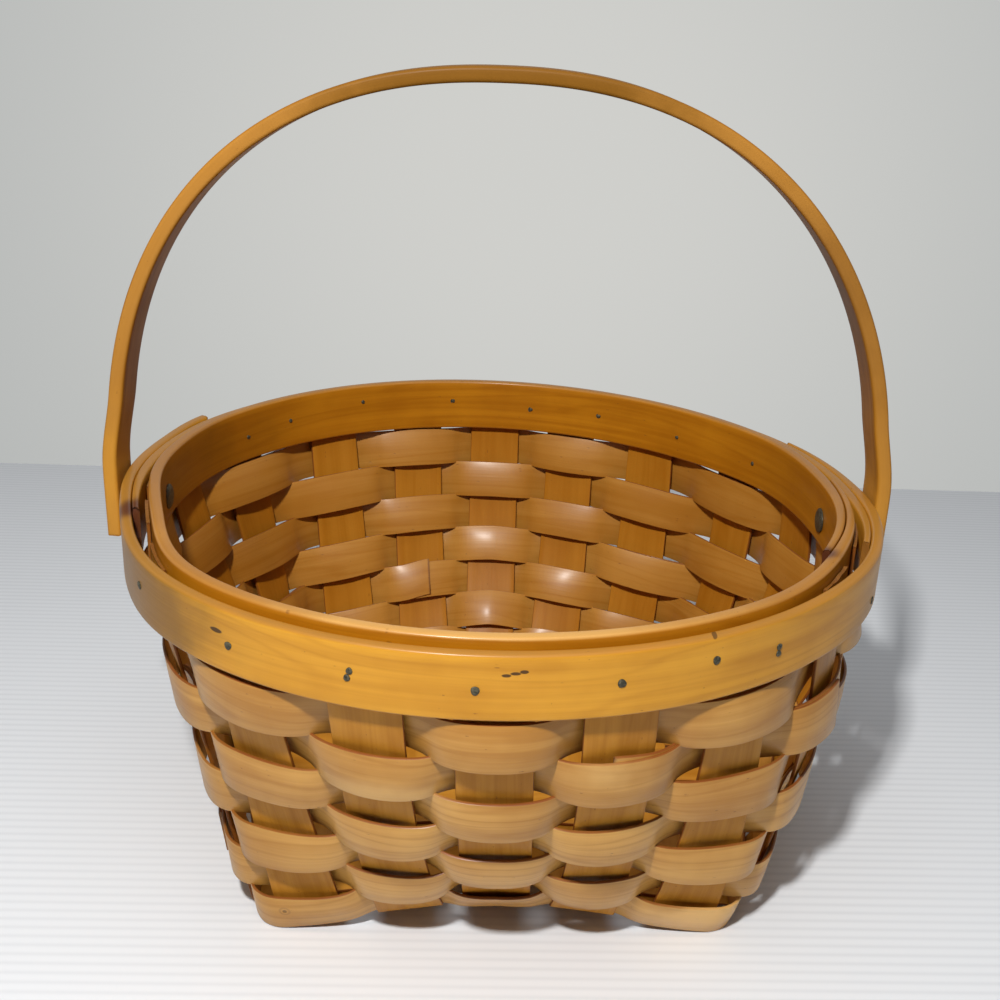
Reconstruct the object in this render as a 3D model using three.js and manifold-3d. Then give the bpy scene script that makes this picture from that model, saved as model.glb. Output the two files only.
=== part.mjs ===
import * as THREE from "three";
import { mergeVertices } from "three/addons/utils/BufferGeometryUtils.js";
import Module from "manifold-3d";

const wasm = await Module();
wasm.setup();

// A round-rimmed, square-based basket of flat wooden splints with one swinging bow handle.
// Sizes are millimetres. Angles are degrees, anticlockwise seen from above, 0 on +X.
// +Z is up and the front is -Y. z = 0 is the table under the four base corners.
// Stakes are numbered 0 to 19 round the wall: 0-4 front, 5-9 right, 10-14 back, 15-19 left.

// Splints: the upright stakes and the hoops woven round them.
const stakeWidth = 25.4;
const stakeThick = 1.3;
const weaverWidth = 17.8;
const weaverThick = 1.2;
const weaverRows = 7;
const stakeCount = 20;
const stakesPerSide = 5;
const middleStake = (stakesPerSide - 1) / 2;

// The weavers swing out over one stake and in under the next, and their lower edges
// swing further than their upper edges, because a straight splint stands on a sloping wall.
const topEdgeSwing = 3.0;
const lowEdgeSwing = 5.0;
const lowRowTopSwing = 3.4;
const lowRowLowSwing = 4.2;
const waveFlatness = 1.2;

// The stakes stand closer together at the middle of each side than at the corners.
const stakeCloseness = 0.881;
const cornerPower = 4;
const rimTurn = 0.9;

// Base: a rounded square whose four corners reach down like feet.
const baseHalf = 95.3;
const baseCornerRadius = 14.0;
const baseTurn = 2.2;
const baseShiftX = 2.5;
const baseShiftY = 3.8;
const baseRise = 13.2;
const baseCornerDrop = 16.1;
const baseDropPower = 1.2;
const baseLift = 0.85;
const baseFlatHalf = 13.2;
const baseBend = 2.6;

// Wall between the base edge and the rim. The right side is fuller than the others.
const sideBulge = 9.3;
const cornerBulge = 0.0;
const rightBulge = 11.3;
const bulgeOut = 0.945;
const bulgeDown = 0.326;
const rowsStart = 0.011;
const rowsEnd = 0.993;
const lowRowSlip = 1.2;
const lowRowDrop = 0.25;

// Rim hoops: an outer hoop in two lapped lengths and an inner hoop in one. The rim is a
// little out of round: pushed in at the back right and flattened at the front left.
const rimRadius = 152.4;
const rimSlant = -1.5;
const rimBackPush = 1.3;
const rimSidePush = 0.9;
const flatSpotAngle = 199;
const flatSpotReach = 26;
const flatSpotDepth = 4.2;
const outerBandTop = 152.1;
const outerBandHeight = 23.0;
const outerBandThick = 4.4;
const innerBandTop = outerBandTop + 2.6;
const innerBandHeight = 25.4;
const innerBandThick = 4.8;
const bandEdge = 1.1;
const bandEdgeShare = 0.3;
const layerGap = 0.3;

// Heights that follow the rim: the splint wall ends under it and the stakes inside it.
const outerBandBottom = outerBandTop - outerBandHeight;
const wallTop = outerBandBottom - 1.1;
const stakeTop = outerBandTop - 2.6;

// Where the hoop ends lie.
const fullTurn = 360;
const rightAngle = 0;
const leftAngle = 180;
const frontBandStart = 152;
const frontBandEnd = 386;
const backBandStart = -20.7;
const backBandEnd = 198.6;
const innerLapStart = 4;
const innerLapSweep = 34;
const innerEndThin = 1.4;
const innerEndThick = 2.4;
const frontEndThin = 1.6;
const frontTaperStart = 360;
const backEndThin = 2.6;
const backTaperSweep = 22;
const tailSpring = 1.9;
const tailSweep = 14;
const diveStart = 60;
const diveEnd = 90;
const diveDepth = 3.4;
const diveReturn = 112;
const stakeReturnSweep = 30;
const bandReturnSweep = 23;
const innerStepSweep = 26;

// Bow handle: a flat bent strip with straight legs outside the rim.
const pivotHeight = outerBandTop - outerBandHeight / 2 - 1.0;
const handleThick = 5.8;
const handleWidth = 21.0;
const handleEdge = 1.5;
const handleTop = 314.5;
const handleLegEnd = pivotHeight - 14.6;
const legSweep = 8;
const legClearance = 1.1;
const bowStart = pivotHeight + 6.4;
const bowPower = 2.28;
const bowPull = 2.5;
const bowPullStart = pivotHeight + 16.0;
const bowPullEnd = pivotHeight + 46.0;
const bowLean = -2.3;

// Rivets and nails.
const rivetRadius = 2.4;
const rivetHeadRadius = 5.2;
const rivetHeadThick = 1.2;
const rivetHeadEdge = 0.5;
const rivetPeenRadius = 4.2;
const rivetPeenThick = 1.5;
const rivetPeenEdge = 0.4;
const nailRadius = 0.6;
const nailHeadRadius = 1.45;
const nailPairHeadRadius = 1.1;
const nailHeadThick = 0.6;
const nailClinchRadius = 1.0;
const nailClinchThick = 0.5;
const holeGap = 0.3;
const rivetSeatGap = 0.65;
const drillRun = 2.0;

// Nails driven through the front length and the back length: name, angle and depth below
// the hoop's top. The two pairs have smaller heads, which almost touch.
const frontNails = [
  ["nail_front_1", 217.0, 9.8],
  ["nail_front_2", 237.1, 12.3],
  ["nail_front_3_upper", 253.9, 9.8, nailPairHeadRadius],
  ["nail_front_3_lower", 253.6, 12.3, nailPairHeadRadius],
  ["nail_front_4", 268.6, 12.1],
  ["nail_front_5", 285.7, 11.0],
  ["nail_front_6", 298.1, 8.2],
  ["nail_front_7_upper", 308.2, 10.0, nailPairHeadRadius],
  ["nail_front_7_lower", 308.2, 12.5, nailPairHeadRadius],
  ["nail_front_8", 334.9, 17.6],
];
const backNails = [
  ["nail_back_1", 29.5, 11.7],
  ["nail_back_2", 49.6, 11.9],
  ["nail_back_3", 68.3, 9.8],
  ["nail_back_4", 83.4, 10.9],
  ["nail_back_5", 100.0, 8.0],
  ["nail_back_6", 119.3, 5.9],
  ["nail_back_7", 136.0, 9.1],
  ["nail_back_8", 147.0, 11.1],
];

// Fineness of the curves, and small steps used to read the slope of a surface.
const slopeStep = 0.005;
const baseSlopeStep = 0.5;
const spanReach = 0.35;
const lengthSteps = 16;
const turnEase = 0.5;
const bandStep = 4;
const bowSteps = 44;
const nailSides = 6;
const rivetSides = 16;
const wallStations = [0.016, 0.14, 0.27, 0.4, 0.53, 0.66, 0.79, 0.9, 0.97, 1];
const acrossStake = [-1, -0.5, 0, 0.5, 1];

const group = new THREE.Group();
group.name = "woven_basket";

const upward = new THREE.Vector3(0, 0, 1);
const rad = THREE.MathUtils.degToRad;
const lerp = THREE.MathUtils.lerp;

// Eased step from 0 to 1 as x goes from a to b.
function ease(x, a, b) {
  return THREE.MathUtils.smoothstep(x, a, b);
}

// Place round the wall of stake number u, in even spacings. Within each side the stakes
// stand closer together, and the spacing opens up towards the corners.
function spread(u) {
  const half = stakesPerSide / 2;
  const quarter = Math.floor((u - middleStake) / stakesPerSide + 0.5);
  const off = u - middleStake - quarter * stakesPerSide;
  const opened = Math.sign(off) * half * Math.pow(Math.abs(off) / half, cornerPower);
  return quarter * stakesPerSide + lerp(opened, off, stakeCloseness);
}

// Angle of a wall place u at the rim; stake number n stands at u = n.
function rimAngle(u) {
  return rimTurn - fullTurn / 4 + (spread(u) * fullTurn) / stakeCount;
}

// Outer radius of the rim at an angle.
function rimAt(angle) {
  const a = rad(angle);
  const push = rimSlant - 2 * (rimBackPush * Math.sin(a) + rimSidePush * Math.cos(a));
  const turned = THREE.MathUtils.euclideanModulo(angle - flatSpotAngle, fullTurn);
  const off = Math.min(Math.min(turned, fullTurn - turned) / flatSpotReach, 1);
  const flat = flatSpotDepth * (1 + Math.cos(Math.PI * off)) / 2;
  return rimRadius + Math.sin(2 * a) * push - flat;
}

// Degrees away from the middle of the back, 0 to 180.
function fromBack(angle) {
  const turned = THREE.MathUtils.euclideanModulo(angle - fullTurn / 4, fullTurn);
  return Math.min(turned, fullTurn - turned);
}

// How far the stakes and the inner hoop move inward at the two sides,
// to make room for the ends of the back length inside the front length.
function sideTuck(angle) {
  const away = fromBack(angle);
  const inward = ease(away, diveStart, diveEnd);
  const back = ease(away, diveReturn, diveReturn + stakeReturnSweep);
  return diveDepth * (inward - back);
}

// Faces of the back length of the outer hoop.
function backBandOuter(angle) {
  const away = fromBack(angle);
  return rimAt(angle) - diveDepth * ease(away, diveStart, diveEnd);
}

function backBandThick(angle) {
  const left = ease(angle, backBandEnd - backTaperSweep, backBandEnd);
  const right = 1 - ease(angle, backBandStart, backBandStart + backTaperSweep);
  return lerp(outerBandThick, backEndThin, Math.max(left, right));
}

// Faces of the front length of the outer hoop, which laps outside the back length.
function frontBandInner(angle) {
  const away = fromBack(angle);
  const seat = rimAt(angle) - outerBandThick;
  const lapSeat = backBandOuter(angle) + layerGap;
  const sideSeat = rimAt(angle) - diveDepth + layerGap;
  const settled = ease(away, diveReturn, diveReturn + bandReturnSweep);
  const spring = tailSpring * (1 - ease(angle, frontBandStart, frontBandStart + tailSweep));
  if (away < diveEnd) {
    return lapSeat + spring;
  }
  return lerp(sideSeat, seat, settled);
}

function frontBandThick(angle) {
  const end = THREE.MathUtils.clamp(
    (angle - frontTaperStart) / (frontBandEnd - frontTaperStart),
    0,
    1,
  );
  return lerp(outerBandThick, frontEndThin, end);
}

function frontBandOuter(angle) {
  return frontBandInner(angle) + frontBandThick(angle);
}

// Middle of a stake between the rim hoops.
function stakeRadius(angle) {
  const seat = rimAt(angle) - outerBandThick - layerGap - stakeThick / 2;
  return seat - sideTuck(angle);
}

// The inner hoop is one strip: sweep 0 is its thin outer end, and past a full turn
// it runs on inside itself to its inner end.
function innerSeat(angle) {
  return stakeRadius(angle) - stakeThick / 2 - layerGap;
}

function innerStartThick(sweep) {
  return lerp(innerEndThin, innerBandThick, Math.min(sweep / innerLapSweep, 1));
}

function innerBandFaces(sweep) {
  const angle = innerLapStart - sweep;
  const seat = innerSeat(angle);
  if (sweep < fullTurn) {
    const settle = ease(sweep, fullTurn - innerStepSweep, fullTurn);
    const step = (innerEndThin + layerGap) * settle;
    const outer = seat - step;
    return { angle, outer, inner: outer - innerStartThick(sweep) };
  }
  const over = sweep - fullTurn;
  const outer = seat - innerStartThick(over) - layerGap;
  const thick = lerp(innerBandThick, innerEndThick, over / innerLapSweep);
  return { angle, outer, inner: outer - thick };
}

// Innermost wooden face at an angle, where nails and rivets come through.
function innermostFace(angle) {
  const sweep = THREE.MathUtils.euclideanModulo(innerLapStart - angle, fullTurn);
  const single = innerBandFaces(sweep).inner;
  if (sweep > innerLapSweep) {
    return single;
  }
  return innerBandFaces(sweep + fullTurn).inner;
}

// Height of the woven base above the table at a place seen from above.
function baseHeight(x, y) {
  const across = Math.pow(Math.abs(x) / baseHalf, baseDropPower);
  const along = Math.pow(Math.abs(y) / baseHalf, baseDropPower);
  return baseRise - baseCornerDrop * across * along;
}

// Base edge at wall place u, before the base is turned and moved to its place.
function baseEdge(u) {
  const flat = baseHalf - baseCornerRadius;
  const side = 2 * flat + (Math.PI / 2) * baseCornerRadius;
  const along = (spread(u) * side) / stakesPerSide;
  const quarter = Math.floor((along + side / 2) / side);
  const run = along - quarter * side;
  const turn = Math.max(Math.abs(run) - flat, 0) / baseCornerRadius;
  const straight = Math.min(Math.abs(run), flat) + baseCornerRadius * Math.sin(turn);
  const depth = flat + baseCornerRadius * Math.cos(turn);
  const point = new THREE.Vector2(Math.sign(run) * straight, -depth);
  point.rotateAround(new THREE.Vector2(0, 0), (quarter * Math.PI) / 2);
  return new THREE.Vector3(point.x, point.y, baseHeight(point.x, point.y));
}

// Turns the base a little against the rim and moves it to its place under it.
function placeBase(point) {
  point.applyAxisAngle(upward, rad(baseTurn));
  point.x += baseShiftX;
  point.y += baseShiftY;
  return point;
}

// Middle surface of the wall: u runs round it, t runs from the base edge (0) to the rim (1).
function wallPoint(u, t) {
  const angle = rimAngle(u);
  const radius = stakeRadius(angle);
  const low = placeBase(baseEdge(u));
  const cos = Math.cos(rad(angle));
  const sin = Math.sin(rad(angle));
  const high = new THREE.Vector3(radius * cos, radius * sin, wallTop);
  const middle = Math.cos((Math.PI * (u - middleStake)) / stakesPerSide);
  const right = Math.max(cos, 0);
  const deepest = lerp(cornerBulge, sideBulge, middle * middle) + rightBulge * right * right;
  const bulge = deepest * 4 * t * (1 - t);
  const out = new THREE.Vector3(cos * bulgeOut, sin * bulgeOut, -bulgeDown);
  return low.lerp(high, t).addScaledVector(out, bulge);
}

// Outward direction of the wall surface.
function wallNormal(u, t) {
  const round = wallPoint(u + slopeStep, t).sub(wallPoint(u - slopeStep, t));
  const up = wallPoint(u, t + slopeStep).sub(wallPoint(u, t - slopeStep));
  return round.cross(up).normalize();
}

// Half a stake's width, measured in stake spacings at height t.
function halfStake(u, t) {
  const span = wallPoint(u + spanReach, t).distanceTo(wallPoint(u - spanReach, t));
  return (stakeWidth * spanReach) / span;
}

// Length of the wall from base edge to rim.
function wallLength() {
  let length = 0;
  for (let i = 0; i < lengthSteps; i += 1) {
    const a = wallPoint(middleStake, i / lengthSteps);
    length += a.distanceTo(wallPoint(middleStake, (i + 1) / lengthSteps));
  }
  return length;
}

// Turns rows of corner points into one closed skin. Each section lists its corners in the
// same order; a ring joins its last section to its first, a strip gets two end faces.
function skin(sections, ring) {
  const corners = sections[0].length;
  const count = sections.length;
  const positions = [];
  const index = [];
  sections.forEach((section) => section.forEach((p) => positions.push(p.x, p.y, p.z)));
  const spans = ring ? count : count - 1;
  for (let s = 0; s < spans; s += 1) {
    const here = s * corners;
    const next = ((s + 1) % count) * corners;
    for (let c = 0; c < corners; c += 1) {
      const d = (c + 1) % corners;
      index.push(here + c, next + c, next + d, here + c, next + d, here + d);
    }
  }
  if (!ring) {
    closeEnd(index, 0, corners, false);
    closeEnd(index, (count - 1) * corners, corners, true);
  }
  const geometry = new THREE.BufferGeometry();
  geometry.setAttribute("position", new THREE.Float32BufferAttribute(positions, 3));
  geometry.setIndex(index);
  return geometry;
}

// End face of a strip, filled as a ladder between the two long sides of the section.
function closeEnd(index, start, corners, last) {
  let low = 0;
  let high = corners - 1;
  while (high - low > 1) {
    const triangles = [[low, low + 1, high]];
    if (high - low > 2) {
      triangles.push([low + 1, high - 1, high]);
    }
    triangles.forEach(([a, b, c]) => {
      const order = last ? [a, c, b] : [a, b, c];
      order.forEach((corner) => index.push(start + corner));
    });
    low += 1;
    high -= 1;
  }
}

// Solid body of a geometry, turned outward-facing if its corners ran the other way.
function solidOf(geometry) {
  const bare = geometry.clone();
  bare.deleteAttribute("normal");
  bare.deleteAttribute("uv");
  const merged = mergeVertices(bare, 1e-4);
  const index = new Uint32Array(merged.index.array);
  const positions = merged.attributes.position.array;
  const build = () => {
    const mesh = new wasm.Mesh({ numProp: 3, vertProperties: positions, triVerts: index });
    return new wasm.Manifold(mesh);
  };
  const solid = build();
  if (solid.volume() > 0) {
    return solid;
  }
  for (let i = 0; i < index.length; i += 3) {
    [index[i + 1], index[i + 2]] = [index[i + 2], index[i + 1]];
  }
  return build();
}

function geometryOf(solid) {
  const mesh = solid.getMesh();
  const positions = [];
  for (let i = 0; i < mesh.numVert; i += 1) {
    const start = i * mesh.numProp;
    positions.push(...mesh.vertProperties.subarray(start, start + 3));
  }
  const geometry = new THREE.BufferGeometry();
  geometry.setAttribute("position", new THREE.Float32BufferAttribute(positions, 3));
  geometry.setIndex(Array.from(mesh.triVerts));
  const flat = geometry.toNonIndexed();
  flat.computeVertexNormals();
  return flat;
}

function addPiece(name, solid, look) {
  const mesh = new THREE.Mesh(geometryOf(solid), new THREE.MeshStandardMaterial(look));
  mesh.name = name;
  group.add(mesh);
}

// Round bar along +X from one place to another, for shanks and the holes they sit in.
function barAlongX(radius, from, to, sides) {
  const bar = new THREE.CylinderGeometry(radius, radius, to - from, sides);
  bar.rotateZ(-Math.PI / 2);
  bar.translate((from + to) / 2, 0, 0);
  return bar;
}

// Turned shape along +X from a list of (place along X, radius) corners.
function turnedAlongX(profile, sides) {
  const points = profile.map(([along, radius]) => new THREE.Vector2(radius, along));
  const shape = new THREE.LatheGeometry(points, sides);
  shape.rotateZ(-Math.PI / 2);
  return shape;
}

// Places a shape made along +X at an angle round the rim and at a height.
function placeRound(geometry, angle, height) {
  geometry.rotateZ(rad(angle));
  geometry.translate(0, 0, height);
  return geometry;
}

// Section of a hoop between two radii and two heights, with eased edges.
function bandSection(angle, inner, outer, bottom, top) {
  const edge = Math.min(bandEdge, (outer - inner) * bandEdgeShare);
  const cos = Math.cos(rad(angle));
  const sin = Math.sin(rad(angle));
  const outline = [
    [inner, bottom + edge],
    [inner + edge, bottom],
    [outer - edge, bottom],
    [outer, bottom + edge],
    [outer, top - edge],
    [outer - edge, top],
    [inner + edge, top],
    [inner, top - edge],
  ];
  return outline.map(([r, z]) => new THREE.Vector3(r * cos, r * sin, z));
}

function bandSolid(from, to, faces, bottom, top) {
  const steps = Math.ceil((to - from) / bandStep);
  const sections = [];
  for (let i = 0; i <= steps; i += 1) {
    const { angle, inner, outer } = faces(lerp(from, to, i / steps));
    sections.push(bandSection(angle, inner, outer, bottom, top));
  }
  return solidOf(skin(sections, false));
}

function frontBand() {
  const faces = (angle) => ({
    angle,
    inner: frontBandInner(angle),
    outer: frontBandOuter(angle),
  });
  return bandSolid(frontBandStart, frontBandEnd, faces, outerBandBottom, outerBandTop);
}

function backBand() {
  const faces = (angle) => ({
    angle,
    inner: backBandOuter(angle) - backBandThick(angle),
    outer: backBandOuter(angle),
  });
  return bandSolid(backBandStart, backBandEnd, faces, outerBandBottom, outerBandTop);
}

function innerBand() {
  const bottom = innerBandTop - innerBandHeight;
  return bandSolid(0, fullTurn + innerLapSweep, innerBandFaces, bottom, innerBandTop);
}

// One hoop of the wall weave. Odd rows pass outside the even stakes, even rows inside them.
function weaver(row) {
  const lowest = row === weaverRows;
  const pitch = (rowsEnd - rowsStart) / weaverRows;
  const middle = rowsEnd - (row - 0.5) * pitch;
  const length = wallLength();
  const half = weaverWidth / 2 / length;
  const side = row % 2 === 1 ? 1 : -1;
  const slip = (lowest ? lowRowSlip : 0) / length;
  const drop = (lowest ? lowRowDrop : 0) / length;
  const lowSwing = lowest ? lowRowLowSwing : lowEdgeSwing;
  const topSwing = lowest ? lowRowTopSwing : topEdgeSwing;
  const sections = [];
  for (let stake = 0; stake < stakeCount; stake += 1) {
    const reach = halfStake(stake, middle);
    [-reach, -reach / 2, 0, reach / 2, reach, 0.5].forEach((step) => {
      const u = stake + step;
      const swing = Math.cos(Math.PI * u);
      const flat = (1 + waveFlatness) / (1 + waveFlatness * Math.abs(swing));
      const wave = side * swing * flat;
      const centre = middle - drop - slip * wave;
      const out = wallNormal(u, Math.max(centre, half));
      const low = wallPoint(u, centre - half).addScaledVector(out, lowSwing * wave);
      const high = wallPoint(u, centre + half).addScaledVector(out, topSwing * wave);
      sections.push([
        low.clone().addScaledVector(out, -weaverThick / 2),
        low.clone().addScaledVector(out, weaverThick / 2),
        high.clone().addScaledVector(out, weaverThick / 2),
        high.clone().addScaledVector(out, -weaverThick / 2),
      ]);
    });
  }
  return solidOf(skin(sections, true));
}

// Downward direction of the woven base at a place seen from above.
function baseNormal(x, y) {
  const step = baseSlopeStep;
  const slopeX = (baseHeight(x + step, y) - baseHeight(x - step, y)) / (2 * step);
  const slopeY = (baseHeight(x, y + step) - baseHeight(x, y - step)) / (2 * step);
  return new THREE.Vector3(slopeX, slopeY, -1).normalize();
}

// A point of a stake's middle surface with its outward direction.
function wallStation(u, t) {
  return { point: wallPoint(u, t), out: wallNormal(u, t) };
}

// One side of a stake, from the rim down to the base edge, at one place across its width.
function wallRun(stake, across) {
  const run = wallStations.map((t) => {
    const u = stake + across * halfStake(stake, t);
    return wallStation(u, t);
  });
  const rim = run[run.length - 1];
  const level = new THREE.Vector3(rim.point.x, rim.point.y, 0).normalize();
  rim.out = level;
  const top = { point: rim.point.clone().setZ(stakeTop), out: level };
  return [top, ...run.reverse()];
}

// The flat part of a stake in the woven base. Places run along the stake from its first
// wall to its second; crossings lie above or below in turn.
function baseRun(stake, across, alongY, parity) {
  const u = stake + across * halfStake(stake, 0);
  const edge = baseEdge(u);
  const side = alongY ? edge.x : edge.y;
  const end = alongY ? Math.abs(edge.y) : Math.abs(edge.x);
  const places = [[-end + baseBend, 0]];
  for (let crossing = 0; crossing < stakesPerSide; crossing += 1) {
    const centre = baseEdge(crossing).x;
    [-baseFlatHalf, 0, baseFlatHalf].forEach((step) => {
      places.push([centre + step, crossing]);
    });
  }
  places.push([end - baseBend, stakesPerSide - 1]);
  return places.map(([along, crossing]) => {
    const x = alongY ? side : along;
    const y = alongY ? along : side;
    const under = (crossing + parity) % 2 === 0 ? -1 : 1;
    const lift = (alongY ? under : -under) * baseLift;
    const point = placeBase(new THREE.Vector3(x, y, baseHeight(x, y) + lift));
    return { point, out: baseNormal(x, y).applyAxisAngle(upward, rad(baseTurn)) };
  });
}

// Rounded turn between the base run and a wall run.
function turnStation(inside, u, outside) {
  const chord = inside.point.clone().lerp(outside.point, 0.5);
  const point = wallPoint(u, 0).lerp(chord, turnEase);
  const out = inside.out.clone().add(outside.out).normalize();
  return { point, out };
}

// One stake: down one wall, across the base and up the opposite wall.
function stakeSolid(first, second, alongY, parity) {
  const runs = acrossStake.map((across) => {
    const down = wallRun(first, across);
    const up = wallRun(second, -across).reverse();
    const flat = baseRun(first, across, alongY, parity);
    if (!alongY) {
      flat.reverse();
    }
    const uDown = first + across * halfStake(first, 0);
    const uUp = second - across * halfStake(second, 0);
    const turnDown = turnStation(flat[0], uDown, down[down.length - 1]);
    const turnUp = turnStation(flat[flat.length - 1], uUp, up[0]);
    return [...down, turnDown, ...flat, turnUp, ...up];
  });
  const sections = runs[0].map((_, place) => {
    const outer = runs.map((run) =>
      run[place].point.clone().addScaledVector(run[place].out, stakeThick / 2),
    );
    const inner = runs.map((run) =>
      run[place].point.clone().addScaledVector(run[place].out, -stakeThick / 2),
    );
    return [...outer, ...inner.reverse()];
  });
  return solidOf(skin(sections, false));
}

// How far out the rim reaches under the two legs, read across the legs' width.
function rimUnderLegs() {
  const reaches = [leftAngle, rightAngle + fullTurn].flatMap((side) =>
    [-1, -0.5, 0, 0.5, 1].map((step) => {
      const angle = side + step * legSweep;
      return Math.abs(frontBandOuter(angle) * Math.cos(rad(angle)));
    }),
  );
  return Math.max(...reaches);
}

const legInnerFace = rimUnderLegs() + legClearance;
const legOuterFace = legInnerFace + handleThick;

// Bow and legs of the handle as one bent strip, standing upright over the basket.
function handleSolid() {
  const reach = legInnerFace + handleThick / 2;
  const rise = handleTop - handleThick / 2 - bowStart;
  const path = [[-reach, handleLegEnd]];
  for (let i = 0; i <= bowSteps; i += 1) {
    const turn = Math.PI * (1 - i / bowSteps);
    const cos = Math.cos(turn);
    const sin = Math.max(Math.sin(turn), 0);
    const z = bowStart + rise * Math.pow(sin, 2 / bowPower);
    const width = reach - bowPull * ease(z, bowPullStart, bowPullEnd);
    const lean = bowLean * ease(z, bowPullStart, handleTop);
    path.push([lean + Math.sign(cos) * width * Math.pow(Math.abs(cos), 2 / bowPower), z]);
  }
  path.push([reach, handleLegEnd]);
  const sections = path.map(([x, z], i) => {
    const before = path[Math.max(i - 1, 0)];
    const after = path[Math.min(i + 1, path.length - 1)];
    const along = new THREE.Vector2(after[0] - before[0], after[1] - before[1]).normalize();
    const halfT = handleThick / 2;
    const halfW = handleWidth / 2;
    const outline = [
      [-halfW, -halfT + handleEdge],
      [-halfW + handleEdge, -halfT],
      [halfW - handleEdge, -halfT],
      [halfW, -halfT + handleEdge],
      [halfW, halfT - handleEdge],
      [halfW - handleEdge, halfT],
      [-halfW + handleEdge, halfT],
      [-halfW, halfT - handleEdge],
    ];
    return outline.map(([y, n]) => new THREE.Vector3(x - along.y * n, y, z + along.x * n));
  });
  return solidOf(skin(sections, false));
}

// Rivet through the leg and the rim: a flat head inside, a peened head outside.
function rivetSolid(angle) {
  const inside = innermostFace(angle) - rivetSeatGap;
  const outside = legOuterFace + layerGap;
  const profile = [
    [inside - rivetHeadThick, 0],
    [inside - rivetHeadThick, rivetHeadRadius - rivetHeadEdge],
    [inside - rivetHeadThick / 2, rivetHeadRadius],
    [inside, rivetHeadRadius],
    [inside, rivetRadius],
    [outside, rivetRadius],
    [outside, rivetPeenRadius],
    [outside + rivetPeenThick / 2, rivetPeenRadius - rivetPeenEdge],
    [outside + rivetPeenThick, rivetPeenRadius / 2],
    [outside + rivetPeenThick, 0],
  ];
  return solidOf(placeRound(turnedAlongX(profile, rivetSides), angle, pivotHeight));
}

// Nail through the rim: a low round head outside and a flattened point inside.
function nailSolid(angle, height, outerFace, headRadius) {
  const inside = innermostFace(angle) - layerGap;
  const outside = outerFace + layerGap;
  const profile = [
    [inside - nailClinchThick, 0],
    [inside - nailClinchThick, nailClinchRadius],
    [inside, nailClinchRadius],
    [inside, nailRadius],
    [outside, nailRadius],
    [outside, headRadius],
    [outside + nailHeadThick, headRadius / 2],
    [outside + nailHeadThick, 0],
  ];
  return solidOf(placeRound(turnedAlongX(profile, nailSides), angle, height));
}

// Hole cut through everything between the innermost and outermost faces.
function drill(radius, angle, height, outerFace, sides) {
  const from = innermostFace(angle) - drillRun;
  const to = outerFace + drillRun;
  return solidOf(placeRound(barAlongX(radius, from, to, sides), angle, height));
}

const rivetHoles = [rightAngle, leftAngle].map((angle) =>
  drill(rivetRadius + holeGap, angle, pivotHeight, legOuterFace, rivetSides),
);
const frontHoles = frontNails.map(([, angle, depth]) =>
  drill(nailRadius + holeGap, angle, outerBandTop - depth, frontBandOuter(angle), nailSides),
);
const backHoles = backNails.map(([, angle, depth]) =>
  drill(nailRadius + holeGap, angle, outerBandTop - depth, backBandOuter(angle), nailSides),
);

function cutHoles(solid, holes) {
  return holes.reduce((left, hole) => left.subtract(hole), solid);
}

const rimHoles = [...rivetHoles, ...frontHoles, ...backHoles];

const splintLook = { color: "#c79a5a", roughness: 0.5, metalness: 0 };
const stakeLook = { color: "#c08f4c", roughness: 0.5, metalness: 0 };
const outerLook = { color: "#d9a04a", roughness: 0.42, metalness: 0 };
const innerLook = { color: "#b07a2c", roughness: 0.42, metalness: 0 };
const handleLook = { color: "#b87a22", roughness: 0.4, metalness: 0 };
const nailLook = { color: "#4c4a3a", roughness: 0.55, metalness: 0.8 };

// The base corners are worn flat where they stand on the table.
const wear = new THREE.BoxGeometry(3 * baseHalf, 3 * baseHalf, baseHalf);
wear.translate(baseShiftX, baseShiftY, -baseHalf / 2);
const tableWear = solidOf(wear);

// Ten stakes: five front to back, five from right to left.
for (let n = 0; n < stakesPerSide; n += 1) {
  const name = "stake_front_back_" + (n + 1);
  const solid = stakeSolid(n, 3 * stakesPerSide - 1 - n, true, n);
  addPiece(name, cutHoles(solid.subtract(tableWear), rimHoles), stakeLook);
}
for (let n = 0; n < stakesPerSide; n += 1) {
  const name = "stake_left_right_" + (n + 1);
  const solid = stakeSolid(stakesPerSide + n, stakeCount - 1 - n, false, n);
  addPiece(name, cutHoles(solid.subtract(tableWear), rimHoles), stakeLook);
}

// Seven weavers, row 1 at the top.
for (let row = 1; row <= weaverRows; row += 1) {
  addPiece("weaver_row_" + row, weaver(row).subtract(tableWear), splintLook);
}

addPiece("outer_band_front", cutHoles(frontBand(), rimHoles), outerLook);
addPiece("outer_band_back", cutHoles(backBand(), rimHoles), outerLook);
addPiece("inner_band", cutHoles(innerBand(), rimHoles), innerLook);
addPiece("handle", cutHoles(handleSolid(), rivetHoles), handleLook);
addPiece("rivet_right", rivetSolid(rightAngle), nailLook);
addPiece("rivet_left", rivetSolid(leftAngle), nailLook);
frontNails.forEach(([name, angle, depth, headRadius = nailHeadRadius]) => {
  const height = outerBandTop - depth;
  addPiece(name, nailSolid(angle, height, frontBandOuter(angle), headRadius), nailLook);
});
backNails.forEach(([name, angle, depth]) => {
  const height = outerBandTop - depth;
  addPiece(name, nailSolid(angle, height, backBandOuter(angle), nailHeadRadius), nailLook);
});

export default group;
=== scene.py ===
"""Looks of a woven wood-splint basket with a swinging bow handle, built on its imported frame."""

import logging
import math
import random
from dataclasses import dataclass, field
from enum import Enum

import bpy
import numpy as np
from mathutils import Matrix, Vector


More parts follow.
